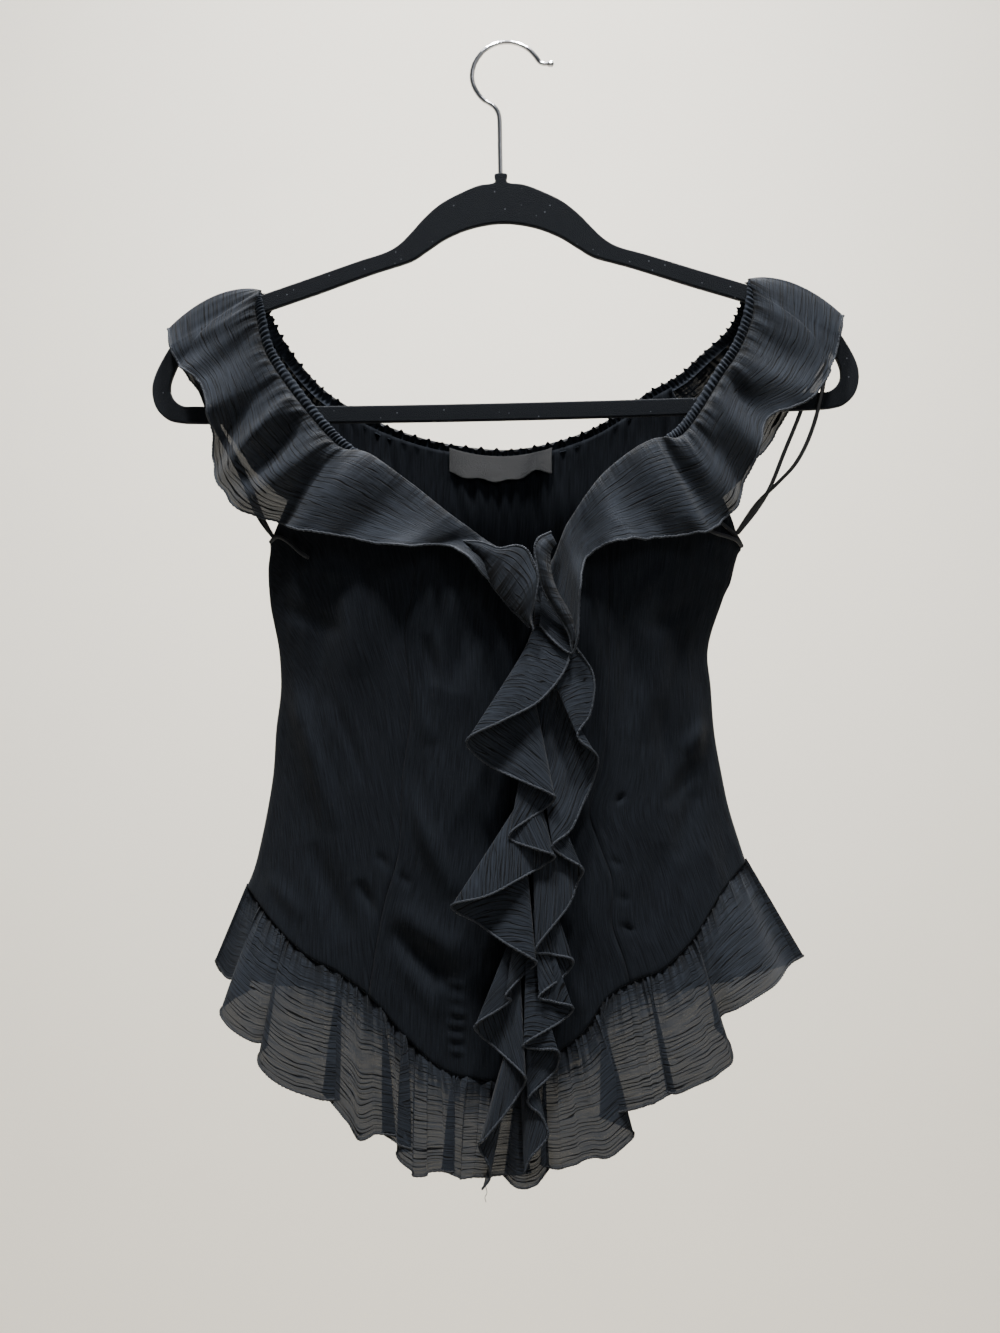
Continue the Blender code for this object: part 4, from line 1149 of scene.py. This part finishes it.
class RUFFLETOP_OT_trims(Operator):
    """Build the bare label, the turned edges and the ribbon loops"""

    bl_idname = "ruffle_top.trims"
    bl_label = "Label and Loops"

    def execute(self, context):
        woven = finish_named(context, "woven label")
        label = mesh_from(context, "neck_label_cloth", label_sheet(70, 22), woven, LABEL_WALL)
        place(label, "neck_label")
        ribbon = finish_named(context, "satin ribbon")
        # The turned edges and the loose thread take the copy of the thread painted dark as shade
        dark = finish_named(context, "overlocked thread, shade painted dark")
        for name, lines in (("binding_left", BINDING_LEFT), ("binding_right", BINDING_RIGHT)):
            for number, line in enumerate(lines):
                edge = tube(context, f"{name}_{number}", path(line, 40), BINDING_RADIUS, dark, 3)
                place(edge)
        place(tube(context, "loose_thread", path(LOOSE_THREAD, 20), THREAD_RADIUS, dark))
        for name, strands, lean in (
            ("hang_loop_left", LOOP_LEFT, math.radians(20)),
            ("hang_loop_right", LOOP_RIGHT, math.radians(-17)),
        ):
            piece = mesh_from(context, name + "_cloth", loop_sheet(strands, lean, 70), ribbon, RIBBON_WALL)
            place(piece, name)
        return {"FINISHED"}


class RUFFLETOP_OT_stage(Operator):
    """Set up the floor, the backdrop, the lights and the camera"""

    bl_idname = "ruffle_top.stage"
    bl_label = "Stage"

    def execute(self, context):
        paint = finish_named(context, "painted studio surface")
        half = STAGE_HALF
        upright = (math.radians(90), 0, 0)
        for name, where, turn in (("floor", FLOOR_AT, (0, 0, 0)), ("backdrop", BACKDROP_AT, upright)):
            mesh = bpy.data.meshes.new(name)
            corners = [(-half, -half, 0), (half, -half, 0), (half, half, 0), (-half, half, 0)]
            mesh.from_pydata(corners, [], [(0, 1, 2, 3)])
            mesh.materials.append(paint)
            made = put(context, name, mesh)
            made.location = where
            made.rotation_euler = turn
        for name, where, power, size, aim in LIGHTS:
            light = bpy.data.lights.new(name, "AREA")
            light.energy = power
            light.size = size
            made = put(context, name, light)
            made.location = where
            made.rotation_euler = (Vector(aim) - Vector(where)).to_track_quat("-Z", "Y").to_euler()
        world = bpy.data.worlds.new("studio")
        world.use_nodes = True
        tree = world.node_tree
        tree.nodes.clear()
        # Soft bluish light from all round, with a pale room to look at
        around = add(tree, "Background", Color=AROUND_COLOUR, Strength=AROUND_STRENGTH)
        room = add(tree, "Background", Color=shade(settings(context)[1].stage), Strength=ROOM_STRENGTH)
        seen = add(tree, "LightPath").outputs["Is Camera Ray"]
        add(tree, "OutputWorld", Surface=add(tree, "MixShader", i0=seen, i1=around, i2=room))
        context.scene.world = world
        camera = bpy.data.cameras.new("camera")
        camera.lens = CAMERA_LENS
        camera.sensor_width = CAMERA_SENSOR
        made = put(context, "camera", camera)
        made.location = CAMERA_AT
        made.rotation_euler = upright
        context.scene.camera = made
        return {"FINISHED"}


class RUFFLETOP_PT_panel(Panel):
    """Sizes, colours and steps of the ruffle top"""

    bl_idname = "RUFFLETOP_PT_panel"
    bl_label = "Ruffle Top"
    bl_space_type = "VIEW_3D"
    bl_region_type = "UI"
    bl_category = "Ruffle Top"

    def draw(self, context):
        for group in settings(context):
            column = self.layout.column(align=True)
            for name in type(group).__annotations__:
                column.prop(group, name)
        column = self.layout.column(align=True)
        for step in STEPS:
            column.operator(step.bl_idname)


STEPS = (
    RUFFLETOP_OT_hanger, RUFFLETOP_OT_casing, RUFFLETOP_OT_body, RUFFLETOP_OT_collar,
    RUFFLETOP_OT_frills, RUFFLETOP_OT_hem_ruffles, RUFFLETOP_OT_trims, RUFFLETOP_OT_stage,
)
CLASSES = (RuffleTopSizes, RuffleTopColours, *STEPS, RUFFLETOP_PT_panel)


def register():
    for kind in CLASSES:
        bpy.utils.register_class(kind)
    bpy.types.Scene.ruffle_top_sizes = PointerProperty(type=RuffleTopSizes)
    bpy.types.Scene.ruffle_top_colours = PointerProperty(type=RuffleTopColours)


def unregister():
    del bpy.types.Scene.ruffle_top_colours
    del bpy.types.Scene.ruffle_top_sizes
    for kind in reversed(CLASSES):
        bpy.utils.unregister_class(kind)


def main():
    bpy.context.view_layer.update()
    register()
    bpy.ops.ruffle_top.hanger()
    bpy.ops.ruffle_top.casing()
    bpy.ops.ruffle_top.body()
    bpy.ops.ruffle_top.collar()
    bpy.ops.ruffle_top.frills()
    bpy.ops.ruffle_top.hem_ruffles()
    bpy.ops.ruffle_top.trims()
    bpy.ops.ruffle_top.stage()


if __name__ == "__main__":
    main()
